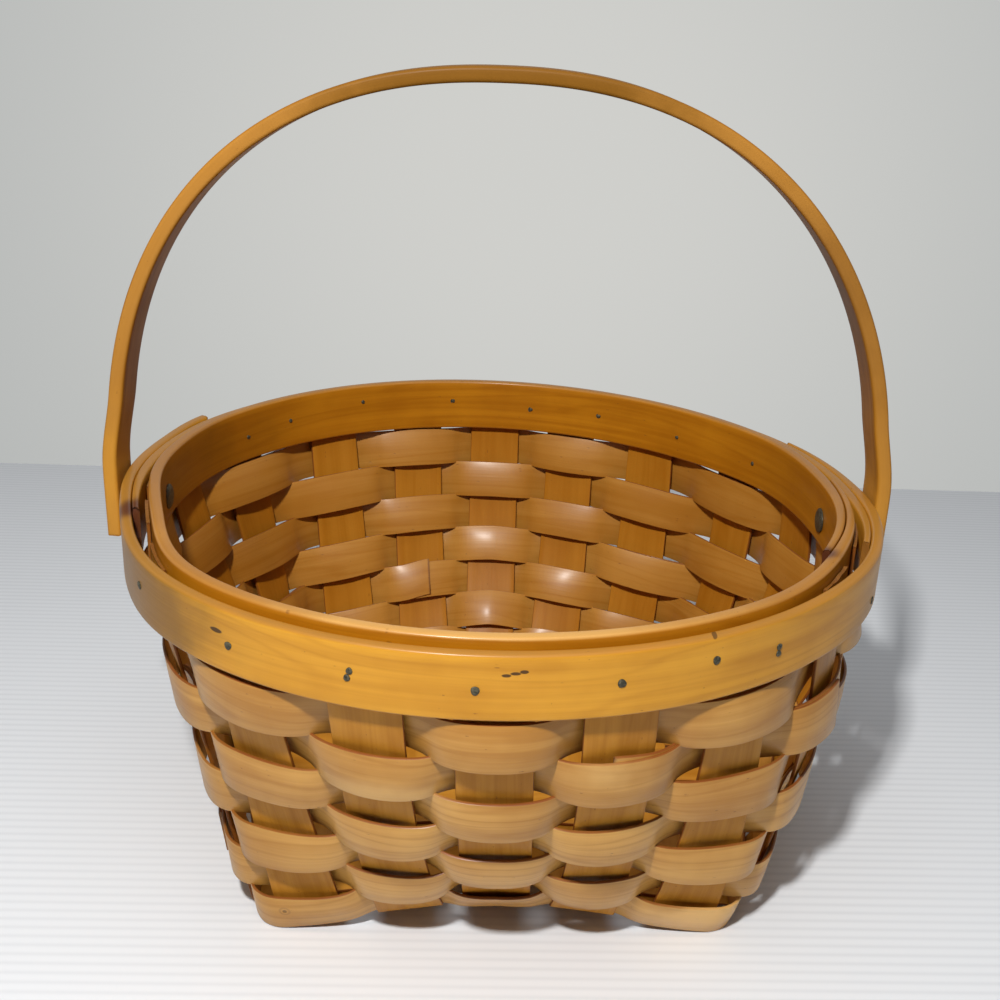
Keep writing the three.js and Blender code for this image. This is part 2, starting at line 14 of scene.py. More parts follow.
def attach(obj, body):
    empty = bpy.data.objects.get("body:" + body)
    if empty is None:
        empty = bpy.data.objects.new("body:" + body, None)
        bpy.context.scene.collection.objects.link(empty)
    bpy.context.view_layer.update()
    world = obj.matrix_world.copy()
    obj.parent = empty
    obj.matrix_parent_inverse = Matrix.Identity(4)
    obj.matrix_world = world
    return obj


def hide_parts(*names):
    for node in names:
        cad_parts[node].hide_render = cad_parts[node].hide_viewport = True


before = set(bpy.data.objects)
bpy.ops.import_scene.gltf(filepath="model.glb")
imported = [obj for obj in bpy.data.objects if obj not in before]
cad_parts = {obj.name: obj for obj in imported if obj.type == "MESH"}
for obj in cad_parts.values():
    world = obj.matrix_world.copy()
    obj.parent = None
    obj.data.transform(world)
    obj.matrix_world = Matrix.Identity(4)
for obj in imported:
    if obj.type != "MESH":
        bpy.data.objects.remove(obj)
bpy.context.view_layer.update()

LOG = logging.getLogger("basket")
MM = 0.001
# Below FOOT_HEIGHT the feet are pressed up by as much as they would dip into the table.
FOOT_HEIGHT = 4.0 * MM
FOOT_DIP = 1.3 * MM
# Edges sharper than this many degrees stay sharp.
WOOD_EDGE = 38.0
IRON_EDGE = 50.0
# One subdivide call makes at most this many cuts.
MOST_CUTS = 99


class Side(Enum):
    """Which side of the even-numbered stakes a weaver row passes."""

    OUTSIDE = 1
    INSIDE = -1


class Part(Enum):
    """The moving bodies of the frame."""

    BASKET = "basket"
    HANDLE = "handle"


def ease(value: np.ndarray | float, start: float, end: float) -> np.ndarray | float:
    """Height at value of an eased step that leaves 0 at start and reaches 1 at end."""
    part = np.clip((value - start) / (end - start), 0.0, 1.0)
    return part * part * (3.0 - 2.0 * part)


def unit(vectors: np.ndarray) -> np.ndarray:
    """Vectors of length 1 in the same directions."""
    return vectors / np.maximum(np.linalg.norm(vectors, axis=-1, keepdims=True), 1e-12)


def press_feet(points: np.ndarray) -> np.ndarray:
    """Presses the lowest part of the feet up, so that they stand on the table and not in it.

    Args:
        points: Corners of a bent strip.

    Returns:
        The same corners, pressed up below FOOT_HEIGHT.
    """
    pressed = FOOT_HEIGHT * (FOOT_DIP + points[:, 2]) / (FOOT_HEIGHT + FOOT_DIP)
    points[:, 2] = np.where(points[:, 2] < FOOT_HEIGHT, pressed, points[:, 2])
    return points


def deselect_all() -> None:
    """Leaves nothing selected, so that an operator acts on what is picked next."""
    if bpy.context.object and bpy.context.object.mode != "OBJECT":
        bpy.ops.object.mode_set(mode="OBJECT")
    bpy.ops.object.select_all(action="DESELECT")


def corners(mesh: bpy.types.Mesh) -> np.ndarray:
    """Places of a mesh's corners, one row each.

    Args:
        mesh: The mesh to read.

    Returns:
        An array with one row of three for each corner.
    """
    flat = np.empty(len(mesh.vertices) * 3)
    mesh.vertices.foreach_get("co", flat)
    return flat.reshape(-1, 3)


def set_corners(piece: bpy.types.Object, places: np.ndarray, sharp: float) -> None:
    """Moves a piece's corners, then turns its faces outwards and smooths them.

    Args:
        piece: The object to finish.
        places: New places of its corners.
        sharp: Degrees above which an edge stays sharp.
    """
    piece.data.vertices.foreach_set("co", places.ravel())
    piece.data.update()
    deselect_all()
    piece.select_set(True)
    bpy.context.view_layer.objects.active = piece
    bpy.ops.object.mode_set(mode="EDIT")
    bpy.ops.mesh.select_all(action="SELECT")
    bpy.ops.mesh.normals_make_consistent(inside=False)
    bpy.ops.object.mode_set(mode="OBJECT")
    bpy.ops.object.shade_smooth_by_angle(angle=math.radians(sharp))


@dataclass(frozen=True)
class Rim:
    """Radii of the rim hoops by angle, in metres; 0 degrees is on +X and 90 at the back."""

    radius: float = 152.4 * MM
    outer_thick: float = 4.4 * MM
    inner_thick: float = 4.8 * MM
    outer_top: float = 152.1 * MM
    outer_height: float = 23.0 * MM
    inner_top: float = 154.7 * MM
    inner_height: float = 25.4 * MM
    gap: float = 0.3 * MM
    stake_thick: float = 1.3 * MM
    dive_depth: float = 3.4 * MM
    dive_start: float = 60.0
    dive_end: float = 90.0
    dive_return: float = 112.0
    stake_return: float = 30.0
    band_return: float = 23.0
    front_start: float = 152.0
    front_end: float = 386.0
    front_taper: float = 360.0
    front_end_thin: float = 1.6 * MM
    back_start: float = -20.7
    back_end: float = 198.6
    back_end_thin: float = 2.6 * MM
    back_taper: float = 22.0
    tail_spring: float = 1.9 * MM
    tail_sweep: float = 14.0
    lap_start: float = 4.0
    lap_sweep: float = 34.0
    lap_thin: float = 1.4 * MM
    lap_thick: float = 2.4 * MM
    lap_step_sweep: float = 26.0
    slant: float = -1.5 * MM
    back_push: float = 1.3 * MM
    side_push: float = 0.9 * MM
    flat_angle: float = 199.0
    flat_reach: float = 26.0
    flat_depth: float = 4.2 * MM

    def at(self, angle: np.ndarray) -> np.ndarray:
        """Outer radius of the rim, which is a little out of round.

        Args:
            angle: Degrees round the rim; 0 is on +X and 90 at the back.

        Returns:
            The radius there.
        """
        turn = np.radians(np.asarray(angle, dtype=float))
        push = self.slant - 2.0 * (self.back_push * np.sin(turn) + self.side_push * np.cos(turn))
        turned = np.mod(np.asarray(angle, dtype=float) - self.flat_angle, 360.0)
        off = np.minimum(np.minimum(turned, 360.0 - turned) / self.flat_reach, 1.0)
        flat = self.flat_depth * (1.0 + np.cos(math.pi * off)) / 2.0
        return self.radius + np.sin(2.0 * turn) * push - flat

    def from_back(self, angle: np.ndarray) -> np.ndarray:
        """Degrees away from the middle of the back, 0 to 180."""
        turned = np.mod(np.asarray(angle, dtype=float) - 90.0, 360.0)
        return np.minimum(turned, 360.0 - turned)

    def tuck(self, angle: np.ndarray) -> np.ndarray:
        """How far the stakes and the inner hoop give way inward at the two sides.

        Args:
            angle: Degrees round the rim; 0 is on +X and 90 at the back.

        Returns:
            How far in they stand.
        """
        away = self.from_back(angle)
        inward = ease(away, self.dive_start, self.dive_end)
        back = ease(away, self.dive_return, self.dive_return + self.stake_return)
        return self.dive_depth * (inward - back)

    def back_outer(self, angle: np.ndarray) -> np.ndarray:
        """Outer face of the back length of the outer hoop."""
        dive = ease(self.from_back(angle), self.dive_start, self.dive_end)
        return self.at(angle) - self.dive_depth * dive

    def back_thick(self, angle: np.ndarray) -> np.ndarray:
        """Thickness of the back length, thinner towards its two ends.

        Args:
            angle: Degrees round the rim; 0 is on +X and 90 at the back.

        Returns:
            The thickness there.
        """
        left = ease(angle, self.back_end - self.back_taper, self.back_end)
        right = 1.0 - ease(angle, self.back_start, self.back_start + self.back_taper)
        thin = np.maximum(left, right)
        return self.outer_thick + (self.back_end_thin - self.outer_thick) * thin

    def front_inner(self, angle: np.ndarray) -> np.ndarray:
        """Inner face of the front length, which laps outside the back length.

        Args:
            angle: Degrees round the rim; 0 is on +X and 90 at the back.

        Returns:
            The radius of that face.
        """
        away = self.from_back(angle)
        seat = self.at(angle) - self.outer_thick
        spring = self.tail_spring * (
            1.0 - ease(angle, self.front_start, self.front_start + self.tail_sweep)
        )
        lapped = self.back_outer(angle) + self.gap + spring
        side = self.at(angle) - self.dive_depth + self.gap
        settled = ease(away, self.dive_return, self.dive_return + self.band_return)
        return np.where(away < self.dive_end, lapped, side + (seat - side) * settled)

    def front_thick(self, angle: np.ndarray) -> np.ndarray:
        """Thickness of the front length, shaved thin at its right end."""
        run = (np.asarray(angle, dtype=float) - self.front_taper) / (self.front_end - self.front_taper)
        return self.outer_thick + (self.front_end_thin - self.outer_thick) * np.clip(run, 0.0, 1.0)

    def front_outer(self, angle: np.ndarray) -> np.ndarray:
        """Outer face of the front length."""
        return self.front_inner(angle) + self.front_thick(angle)

    def stake_radius(self, angle: np.ndarray) -> np.ndarray:
        """Middle of a stake where it stands between the hoops."""
        seat = self.at(angle) - self.outer_thick - self.gap - self.stake_thick / 2
        return seat - self.tuck(angle)

    def inner_faces(self, sweep: np.ndarray) -> tuple[np.ndarray, np.ndarray, np.ndarray]:
        """Faces of the inner hoop, one strip that laps inside itself at the right.

        Args:
            sweep: Degrees run clockwise from the strip's thin outer end.

        Returns:
            The angle round the rim, the inner radius and the outer radius.
        """
        sweep = np.asarray(sweep, dtype=float)
        angle = self.lap_start - sweep
        seat = self.stake_radius(angle) - self.stake_thick / 2 - self.gap

        def start_thick(run: np.ndarray) -> np.ndarray:
            """Thickness of the shaved outer end after a run in degrees."""
            part = np.clip(run / self.lap_sweep, 0.0, 1.0)
            return self.lap_thin + (self.inner_thick - self.lap_thin) * part

        step = (self.lap_thin + self.gap) * ease(sweep, 360.0 - self.lap_step_sweep, 360.0)
        over = sweep - 360.0
        end = self.inner_thick + (self.lap_thick - self.inner_thick) * np.clip(
            over / self.lap_sweep, 0.0, 1.0
        )
        single = sweep < 360.0
        outer = np.where(single, seat - step, seat - start_thick(over) - self.gap)
        thick = np.where(single, start_thick(sweep), end)
        return angle, outer - thick, outer

    def under_legs(self, sweep: float) -> float:
        """How far out the rim reaches under the two legs of the handle.

        Args:
            sweep: Degrees that a leg covers to each side of the X axis.

        Returns:
            The distance from the middle.
        """
        steps = np.array([-1.0, -0.5, 0.0, 0.5, 1.0]) * sweep
        angles = np.concatenate([180.0 + steps, 360.0 + steps])
        return float(np.abs(self.front_outer(angles) * np.cos(np.radians(angles))).max())

    def innermost(self, angle: float) -> float:
        """Innermost wooden face at an angle, where a nail's point comes through.

        Args:
            angle: Degrees round the rim; 0 is on +X and 90 at the back.

        Returns:
            The radius of that face.
        """
        sweep = (self.lap_start - angle) % 360.0
        if sweep <= self.lap_sweep:
            sweep += 360.0
        return float(self.inner_faces(np.array([sweep]))[1][0])


@dataclass(frozen=True)
class Wall:
    """Middle surface of the splint wall between the square base and the round rim."""

    rim: Rim = Rim()
    stakes: int = 20
    per_side: int = 5
    stake_width: float = 25.4 * MM
    closeness: float = 0.881
    corner_power: float = 4.0
    rim_turn: float = 0.9
    base_half: float = 95.3 * MM
    corner_radius: float = 14.0 * MM
    base_turn: float = 2.2
    shift_x: float = 2.5 * MM
    shift_y: float = 3.8 * MM
    rise: float = 13.2 * MM
    corner_drop: float = 16.1 * MM
    drop_power: float = 1.2
    top: float = 128.0 * MM
    side_bulge: float = 9.3 * MM
    right_bulge: float = 11.3 * MM
    bulge_out: float = 0.945
    bulge_down: float = 0.326

    @property
    def middle(self) -> float:
        """Place of the middle stake of the front wall."""
        return (self.per_side - 1) / 2

    def spread(self, u: np.ndarray) -> np.ndarray:
        """Even spacings from the middle front to stake place u, closer within each side.

        Args:
            u: Place round the wall; stake number n stands at u = n.

        Returns:
            The place after the stakes are moved together.
        """
        half = self.per_side / 2.0
        off = np.asarray(u, dtype=float) - self.middle
        quarter = np.floor(off / self.per_side + 0.5)
        off = off - quarter * self.per_side
        opened = np.sign(off) * half * (np.abs(off) / half) ** self.corner_power
        return quarter * self.per_side + opened * (1.0 - self.closeness) + off * self.closeness

    def rim_angle(self, u: np.ndarray) -> np.ndarray:
        """Angle at the rim of wall place u; stake number n stands at u = n."""
        return self.rim_turn - 90.0 + self.spread(u) * (360.0 / self.stakes)

    def base_height(self, x: np.ndarray, y: np.ndarray) -> np.ndarray:
        """Height of the woven base, whose corners reach down like feet.

        Args:
            x: Distance right of the middle of the base.
            y: Distance behind it.

        Returns:
            The height there.
        """
        across = np.power(np.abs(x) / self.base_half, self.drop_power)
        along = np.power(np.abs(y) / self.base_half, self.drop_power)
        return self.rise - self.corner_drop * across * along

    def base_edge(self, u: np.ndarray) -> np.ndarray:
        """Points on the rounded-square edge of the base, before it is put in its place.

        Args:
            u: Place round the wall; stake number n stands at u = n.

        Returns:
            The points.
        """
        u = np.asarray(u, dtype=float)
        flat = self.base_half - self.corner_radius
        side = 2.0 * flat + (math.pi / 2.0) * self.corner_radius
        along = self.spread(u) * side / self.per_side
        quarter = np.floor((along + side / 2.0) / side)
        run = along - quarter * side
        turn = np.maximum(np.abs(run) - flat, 0.0) / self.corner_radius
        straight = np.minimum(np.abs(run), flat) + self.corner_radius * np.sin(turn)
        x = np.sign(run) * straight
        y = -(flat + self.corner_radius * np.cos(turn))
        angle = quarter * math.pi / 2.0
        px = x * np.cos(angle) - y * np.sin(angle)
        py = x * np.sin(angle) + y * np.cos(angle)
        return np.stack([px, py, self.base_height(px, py)], axis=-1)

    def turn_base(self, vectors: np.ndarray) -> np.ndarray:
        """Turns vectors of the base by the angle that it has against the rim.

        Args:
            vectors: Vectors or points of the base.

        Returns:
            The turned vectors.
        """
        cos = math.cos(math.radians(self.base_turn))
        sin = math.sin(math.radians(self.base_turn))
        x, y, z = vectors[..., 0], vectors[..., 1], vectors[..., 2]
        return np.stack([x * cos - y * sin, x * sin + y * cos, z], axis=-1)

    def place_base(self, points: np.ndarray) -> np.ndarray:
        """Turns points of the base and moves them to their place under the rim."""
        return self.turn_base(points) + np.array([self.shift_x, self.shift_y, 0.0])

    def point(self, u: np.ndarray, t: np.ndarray) -> np.ndarray:
        """Points of the surface; u runs round it and t from the base edge (0) to the rim (1).

        Args:
            u: Place round the wall; stake number n stands at u = n.
            t: Height up the wall, 0 at the base edge and 1 at the rim.

        Returns:
            The points.
        """
        u, t = np.broadcast_arrays(np.asarray(u, dtype=float), np.asarray(t, dtype=float))
        angle = self.rim_angle(u)
        cos = np.cos(np.radians(angle))
        sin = np.sin(np.radians(angle))
        radius = self.rim.stake_radius(angle)
        low = self.place_base(self.base_edge(u))
        high = np.stack([radius * cos, radius * sin, np.full_like(cos, self.top)], axis=-1)
        middle = np.cos(math.pi * (u - self.middle) / self.per_side) ** 2
        bulge = self.side_bulge * middle + self.right_bulge * np.maximum(cos, 0.0) ** 2
        bulge = bulge * 4.0 * t * (1.0 - t)
        out = np.stack(
            [cos * self.bulge_out, sin * self.bulge_out, np.full_like(cos, -self.bulge_down)],
            axis=-1,
        )
        part = t[..., None]
        return low * (1.0 - part) + high * part + out * bulge[..., None]

    def normal(self, u: np.ndarray, t: np.ndarray) -> np.ndarray:
        """Outward directions of the surface.

        Args:
            u: Place round the wall; stake number n stands at u = n.
            t: Height up the wall, 0 at the base edge and 1 at the rim.

        Returns:
            Vectors of length 1.
        """
        step_u = 0.01
        step_t = 0.005
        around = self.point(u + step_u, t) - self.point(u - step_u, t)
        upward = self.point(u, t + step_t) - self.point(u, t - step_t)
        return unit(np.cross(around, upward))

    def half_stake(self, u: np.ndarray, t: np.ndarray) -> np.ndarray:
        """Half a stake's width in stake spacings at height t.

        Args:
            u: Place round the wall; stake number n stands at u = n.
            t: Height up the wall, 0 at the base edge and 1 at the rim.

        Returns:
            The half width, in spacings.
        """
        reach = 0.35
        span = np.linalg.norm(self.point(u + reach, t) - self.point(u - reach, t), axis=-1)
        return (self.stake_width / 2.0) * (2.0 * reach) / span

    def length(self) -> float:
        """Length of the wall from base edge to rim at the middle of a side."""
        line = self.point(np.full(17, self.middle), np.linspace(0.0, 1.0, 17))
        return float(np.linalg.norm(np.diff(line, axis=0), axis=1).sum())


@dataclass
class Route:
    """A surface that a flat strip is laid along, as a table of stations and places across.

    Stations run along the strip and the places across it go from its left edge to its right.
    """

    points: np.ndarray
    out: np.ndarray
    thick: np.ndarray | None = None

    def __post_init__(self) -> None:
        """Measures the strip's length along the middle of its width."""
        middle = self.points[:, self.points.shape[1] // 2]
        if self.points.shape[1] % 2 == 0:
            middle = self.points.mean(axis=1)
        steps = np.linalg.norm(np.diff(middle, axis=0), axis=1)
        self.runs = np.concatenate([[0.0], np.cumsum(steps)])

    @property
    def length(self) -> float:
        """Length of the strip in metres."""
        return float(self.runs[-1])

    def lay(self, flat: np.ndarray, half_width: float) -> np.ndarray:
        """Carries the flat strip's corners to their places on the route.

        Args:
            flat: Corners of the flat strip: along, through its thickness, across its width.
            half_width: Half the width of the flat strip.

        Returns:
            The corners in their places.
        """
        stations, columns = self.points.shape[:2]
        row = np.interp(flat[:, 0], self.runs, np.arange(stations))
        column = np.clip((flat[:, 2] / half_width + 1.0) / 2.0, 0.0, 1.0) * (columns - 1)
        row_low = np.minimum(row.astype(int), stations - 2)
        col_low = np.minimum(column.astype(int), columns - 2)
        fr = (row - row_low)[:, None]
        fc = (column - col_low)[:, None]

        def sample(table: np.ndarray) -> np.ndarray:
            """Reads the table between its stations.

            Args:
                table: Points or directions by station and place across.

            Returns:
                One row for each corner of the strip.
            """
            near = table[row_low, col_low] * (1 - fc) + table[row_low, col_low + 1] * fc
            far = table[row_low + 1, col_low] * (1 - fc) + table[row_low + 1, col_low + 1] * fc
            return near * (1 - fr) + far * fr

        through = flat[:, 1]
        if self.thick is not None:
            through = through * np.interp(row, np.arange(stations), self.thick)
        return sample(self.points) + unit(sample(self.out)) * through[:, None]


@dataclass
class Plank:
    """A straight strip of wood, cut flat with softened edges, before it is bent."""

    name: str
    length: float
    width: float
    thick: float
    round_edge: float
    cuts: int
    cuts_across: int = 0
    round_steps: int = 2
    seed: int = 0
    tone: float = 0.0
    fray_start: float = 0.0
    fray_end: float = 0.0
    fray_zone: float = 0.5 * MM

    def _pick_edges(self, axis: int) -> None:
        """Selects the edges that run along one axis of the flat strip.

        Args:
            axis: 0 for the edges along the strip, 1 or 2 for the others.
        """
        mesh = bpy.context.object.data
        bpy.ops.object.mode_set(mode="OBJECT")
        for item in (mesh.vertices, mesh.edges, mesh.polygons):
            item.foreach_set("select", np.zeros(len(item), dtype=bool))
        for edge in mesh.edges:
            a, b = (mesh.vertices[v].co for v in edge.vertices)
            step = b - a
            edge.select = abs(step[axis]) > 0.999 * step.length
        bpy.ops.object.mode_set(mode="EDIT")

    def saw(self) -> bpy.types.Object:
        """Makes the flat strip along +X: softened long edges, then cuts so that it can bend.

        Returns:
            The strip's object, with its grain map and its place attribute.
        """
        deselect_all()
        bpy.ops.mesh.primitive_cube_add(size=1.0, location=(0.0, 0.0, 0.0))
        strip = bpy.context.object
        strip.name = self.name
        strip.data.name = self.name
        strip.scale = (self.length, self.thick, self.width)
        strip.location = (self.length / 2.0, 0.0, 0.0)
        bpy.ops.object.transform_apply(location=True, rotation=True, scale=True)
        bpy.ops.object.mode_set(mode="EDIT")
        bpy.ops.mesh.select_mode(type="EDGE")
        self._pick_edges(0)
        bpy.ops.mesh.bevel(offset=self.round_edge, segments=self.round_steps, affect="EDGES")
        left = self.cuts
        made = 1
        while left > 0:
            step = min(left, MOST_CUTS)
            self._pick_edges(0)
            bpy.ops.mesh.subdivide(number_cuts=step)
            made *= step + 1
            left = 0 if made >= self.cuts else max(math.ceil(self.cuts / made) - 1, 0)
        if self.cuts_across:
            self._split_across()
        bpy.ops.object.mode_set(mode="OBJECT")
        self._map(strip)
        return strip

    def _split_across(self) -> None:
        """Cuts the strip lengthwise at even places across its width."""
        for i in range(1, self.cuts_across + 1):
            place = self.width * (i / (self.cuts_across + 1) - 0.5)
            bpy.ops.mesh.select_all(action="SELECT")
            bpy.ops.mesh.bisect(plane_co=(0.0, 0.0, place), plane_no=(0.0, 0.0, 1.0))

    def _map(self, strip: bpy.types.Object) -> None:
        """Writes the grain map, in metres of wood, and where each corner is on the strip.

        Args:
            strip: The flat strip.
        """
        mesh = strip.data
        flat = corners(mesh)
        rng = random.Random(self.seed)
        start = (rng.uniform(0.0, 40.0), rng.uniform(0.0, 9.0))
        used = np.empty(len(mesh.loops), dtype=int)
        mesh.loops.foreach_get("vertex_index", used)
        grain = np.stack([flat[:, 0] + start[0], flat[:, 2] + flat[:, 1] + start[1]], axis=-1)
        layer = mesh.uv_layers.new(name="grain")
        layer.data.foreach_set("uv", grain[used].ravel())
        mesh.uv_layers.active = layer
        for other in [item for item in mesh.uv_layers if item.name != "grain"]:
            mesh.uv_layers.remove(other)
        place = np.stack(
            [
                flat[:, 2] / (self.width / 2.0),
                np.minimum(flat[:, 0], self.length - flat[:, 0]),
                np.full(len(flat), self.tone),
            ],
            axis=-1,
        )
        mesh.attributes.new("place", "FLOAT_VECTOR", "POINT").data.foreach_set(
            "vector", place.ravel()
        )
        side = np.clip(flat[:, 1] / (self.thick / 2.0), -1.0, 1.0)
        mesh.attributes.new("side", "FLOAT", "POINT").data.foreach_set("value", side)

    def bend(self, strip: bpy.types.Object, route: Route) -> bpy.types.Object:
        """Lays the flat strip along its route, with its ends as rough as they were cut.

        Args:
            strip: The flat strip.
            route: Where it goes.

        Returns:
            The same object, bent.
        """
        flat = corners(strip.data)
        rng = np.random.default_rng(self.seed + 100)
        rough = rng.uniform(0.0, 1.0, len(flat))
        at_start = flat[:, 0] < self.fray_zone
        flat[:, 0] += np.where(at_start, rough * self.fray_start, 0.0)
        at_end = flat[:, 0] > self.length - self.fray_zone
        flat[:, 0] -= np.where(at_end, rough * self.fray_end, 0.0)
        set_corners(strip, press_feet(route.lay(flat, self.width / 2.0)), WOOD_EDGE)
        return strip


class Wire:
    """A shader value that can be used in Python sums; each sum adds its Math node."""

    def __init__(self, bench: "Bench", socket: bpy.types.NodeSocket) -> None:
        """Wraps one output socket of the bench's node tree."""
        self.bench = bench
        self.socket = socket

    def _math(self, operation: str, *values: "Wire | float") -> "Wire":
        """One Math node fed by the values in order."""
        inputs = {index: value for index, value in enumerate(values)}
        return self.bench.add("ShaderNodeMath", {"operation": operation}, inputs)

    def __add__(self, other: "Wire | float") -> "Wire":
        """Sum."""
        return self._math("ADD", self, other)

    def __radd__(self, other: float) -> "Wire":
        """Sum with a number on the left."""
        return self._math("ADD", other, self)

    def __sub__(self, other: "Wire | float") -> "Wire":
        """Difference."""
        return self._math("SUBTRACT", self, other)

    def __mul__(self, other: "Wire | float") -> "Wire":
        """Product."""
        return self._math("MULTIPLY", self, other)

    def __truediv__(self, other: "Wire | float") -> "Wire":
        """Quotient."""
        return self._math("DIVIDE", self, other)

    def __pow__(self, other: float) -> "Wire":
        """Power."""
        return self._math("POWER", self, other)

    def sine(self) -> "Wire":
        """Sine of the value in radians."""
        return self._math("SINE", self)

    def size(self) -> "Wire":
        """The value without its sign."""
        return self._math("ABSOLUTE", self)

    def or_higher(self, other: "Wire | float") -> "Wire":
        """The higher of two values."""
        return self._math("MAXIMUM", self, other)

    def beside(self, output: str | int) -> "Wire":
        """Another output of the same node."""
        return Wire(self.bench, self.socket.node.outputs[output])

    def ramp(self, low: float, high: float, to_low: float = 0.0, to_high: float = 1.0) -> "Wire":
        """Smooth step between two values.

        Args:
            low: Value where the step starts.
            high: Value where the step ends.
            to_low: Result below low.
            to_high: Result above high.

        Returns:
            The step.
        """
        settings = {"interpolation_type": "SMOOTHSTEP"}
        inputs = {
            "Value": self,
            "From Min": low,
            "From Max": high,
            "To Min": to_low,
            "To Max": to_high,
        }
        return self.bench.add("ShaderNodeMapRange", settings, inputs)


class Bench:
    """A node tree being put together, and the one method that adds its nodes."""

    # The Mix node's colour sockets share their names with others, so they go by number.
    MIX_FIRST = 6
    MIX_SECOND = 7
    MIX_RESULT = 2

    def __init__(self, owner: bpy.types.Material | bpy.types.World) -> None:
        """Empties the node tree of a material or of the surroundings.

        Args:
            owner: The material or the world that owns the tree.
        """
        owner.use_nodes = True
        self.tree = owner.node_tree
        self.tree.nodes.clear()

    def add(
        self,
        kind: str,
        settings: dict | None = None,
        inputs: dict | None = None,
        output: str | int = 0,
    ) -> Wire | None:
        """Adds one node.

        Args:
            kind: The node's type name.
            settings: Its properties, set before its sockets.
            inputs: Values or wires by socket name or number.
            output: Which output to return.

        Returns:
            The chosen output, or nothing for a node that has none.
        """
        node = self.tree.nodes.new(kind)
        for key, value in (settings or {}).items():
            setattr(node, key, value)
        for key, value in (inputs or {}).items():
            self.join(node.inputs[key], value)
        return Wire(self, node.outputs[output]) if node.outputs else None

    def join(self, socket: bpy.types.NodeSocket, value: object) -> None:
        """Links a wire to a socket or sets the socket's own value.

        Args:
            socket: The input to feed.
            value: A wire, a number, a vector or a colour.
        """
        if isinstance(value, Wire):
            self.tree.links.new(value.socket, socket)
        elif isinstance(value, (tuple, list)) and len(value) == 3 and socket.type == "RGBA":
            socket.default_value = (*value, 1.0)
        else:
            socket.default_value = value

    def vector(self, x: "Wire | float", y: "Wire | float", z: "Wire | float") -> Wire:
        """A vector from three numbers."""
        return self.add("ShaderNodeCombineXYZ", None, {0: x, 1: y, 2: z})

    def split(self, vector: Wire) -> tuple[Wire, Wire, Wire]:
        """The three numbers of a vector."""
        first = self.add("ShaderNodeSeparateXYZ", None, {0: vector})
        return first, first.beside(1), first.beside(2)

    def vectors(self, operation: str, *values: object, output: str = "Vector") -> Wire:
        """One Vector Math node fed by the values in order."""
        settings = {"operation": operation}
        return self.add("ShaderNodeVectorMath", settings, dict(enumerate(values)), output)

    def scaled(self, vector: Wire, scale: float) -> Wire:
        """A vector made longer."""
        inputs = {0: vector, "Scale": scale}
        return self.add("ShaderNodeVectorMath", {"operation": "SCALE"}, inputs)

    def noise(self, vector: Wire, detail: float = 2.0, rough: float = 0.5) -> Wire:
        """Soft noise from 0 to 1 with features about one unit apart."""
        inputs = {"Vector": vector, "Scale": 1.0, "Detail": detail, "Roughness": rough}
        return self.add("ShaderNodeTexNoise", {"noise_dimensions": "3D"}, inputs)

    def blend(self, factor: "Wire | float", first: object, second: object) -> Wire:
        """Mixes two colours."""
        inputs = {0: factor, self.MIX_FIRST: first, self.MIX_SECOND: second}
        return self.add("ShaderNodeMix", {"data_type": "RGBA"}, inputs, self.MIX_RESULT)

    def near(self, coords: Wire, centre: tuple, radii: tuple) -> Wire:
        """Distance from a centre, where 1 is the edge of an ellipsoid of those radii.

        Args:
            coords: Where the distance is read.
            centre: The ellipsoid's centre.
            radii: Its three radii.

        Returns:
            The distance, in radii.
        """
        moved = self.vectors("SUBTRACT", coords, centre)
        shares = self.vectors("MULTIPLY", moved, tuple(1.0 / radius for radius in radii))
        return self.vectors("LENGTH", shares, output="Value")


class Coat(Bench):
    """A material on its bench, with the shader that its finish feeds."""

    def __init__(self, name: str) -> None:
        """Starts an empty material with a Principled shader.

        Args:
            name: The material's name.
        """
        self.material = bpy.data.materials.new(name)
        super().__init__(self.material)
        self.shader = self.add("ShaderNodeBsdfPrincipled")
        self.add("ShaderNodeOutputMaterial", None, {"Surface": self.shader})

    def set(self, **values: object) -> None:
        """Sets the shader's sockets; an underscore in a name stands for a space."""
        for key, value in values.items():
            self.join(self.shader.socket.node.inputs[key.replace("_", " ")], value)

    def bump(self, height: Wire, depth: float) -> None:
        """Feeds the shader's normal from a height between 0 and 1 and a depth in metres."""
        self.set(Normal=self.add("ShaderNodeBump", None, {"Distance": depth, "Height": height}))


@dataclass(frozen=True)
class Mark:
    """A knot, scratch or dot on the wood, in metres in the frame."""

    centre: tuple
    radii: tuple
    strength: float = 1.0
    ring: bool = False


@dataclass(frozen=True)
class StainAndShade:
    """A soft patch where the wood is darker or paler, in metres in the frame; some are stains and
    tone, others painted shade and painted highlights.
    """

    centre: tuple
    radii: tuple
    colour: tuple
    share: float


@dataclass(frozen=True)
class Fineness:
    """How often the figure of the wood comes again in a metre.

    A pair goes along and across the grain, streaks go along it, and rings across it.
    """

    fibres: tuple = (26.0, 1500.0)
    streaks: float = 5.0
    waves: tuple = (7.0, 55.0)
    rings: float = 700.0
    ring_waver: float = 42.0
    ring_sharpness: float = 7.0
    checks: tuple = (620.0, 60.0)
    pores: tuple = (110.0, 420.0)
    clouds: float = 34.0


@dataclass
class Figure:
    """The wood's figure as shader values, shared by the colour, the gloss and the relief."""

    along: Wire
    over: Wire
    tone: Wire
    coords: Wire
    fibres: Wire
    streaks: Wire
    rings: Wire
    checks: Wire
    cloud: Wire


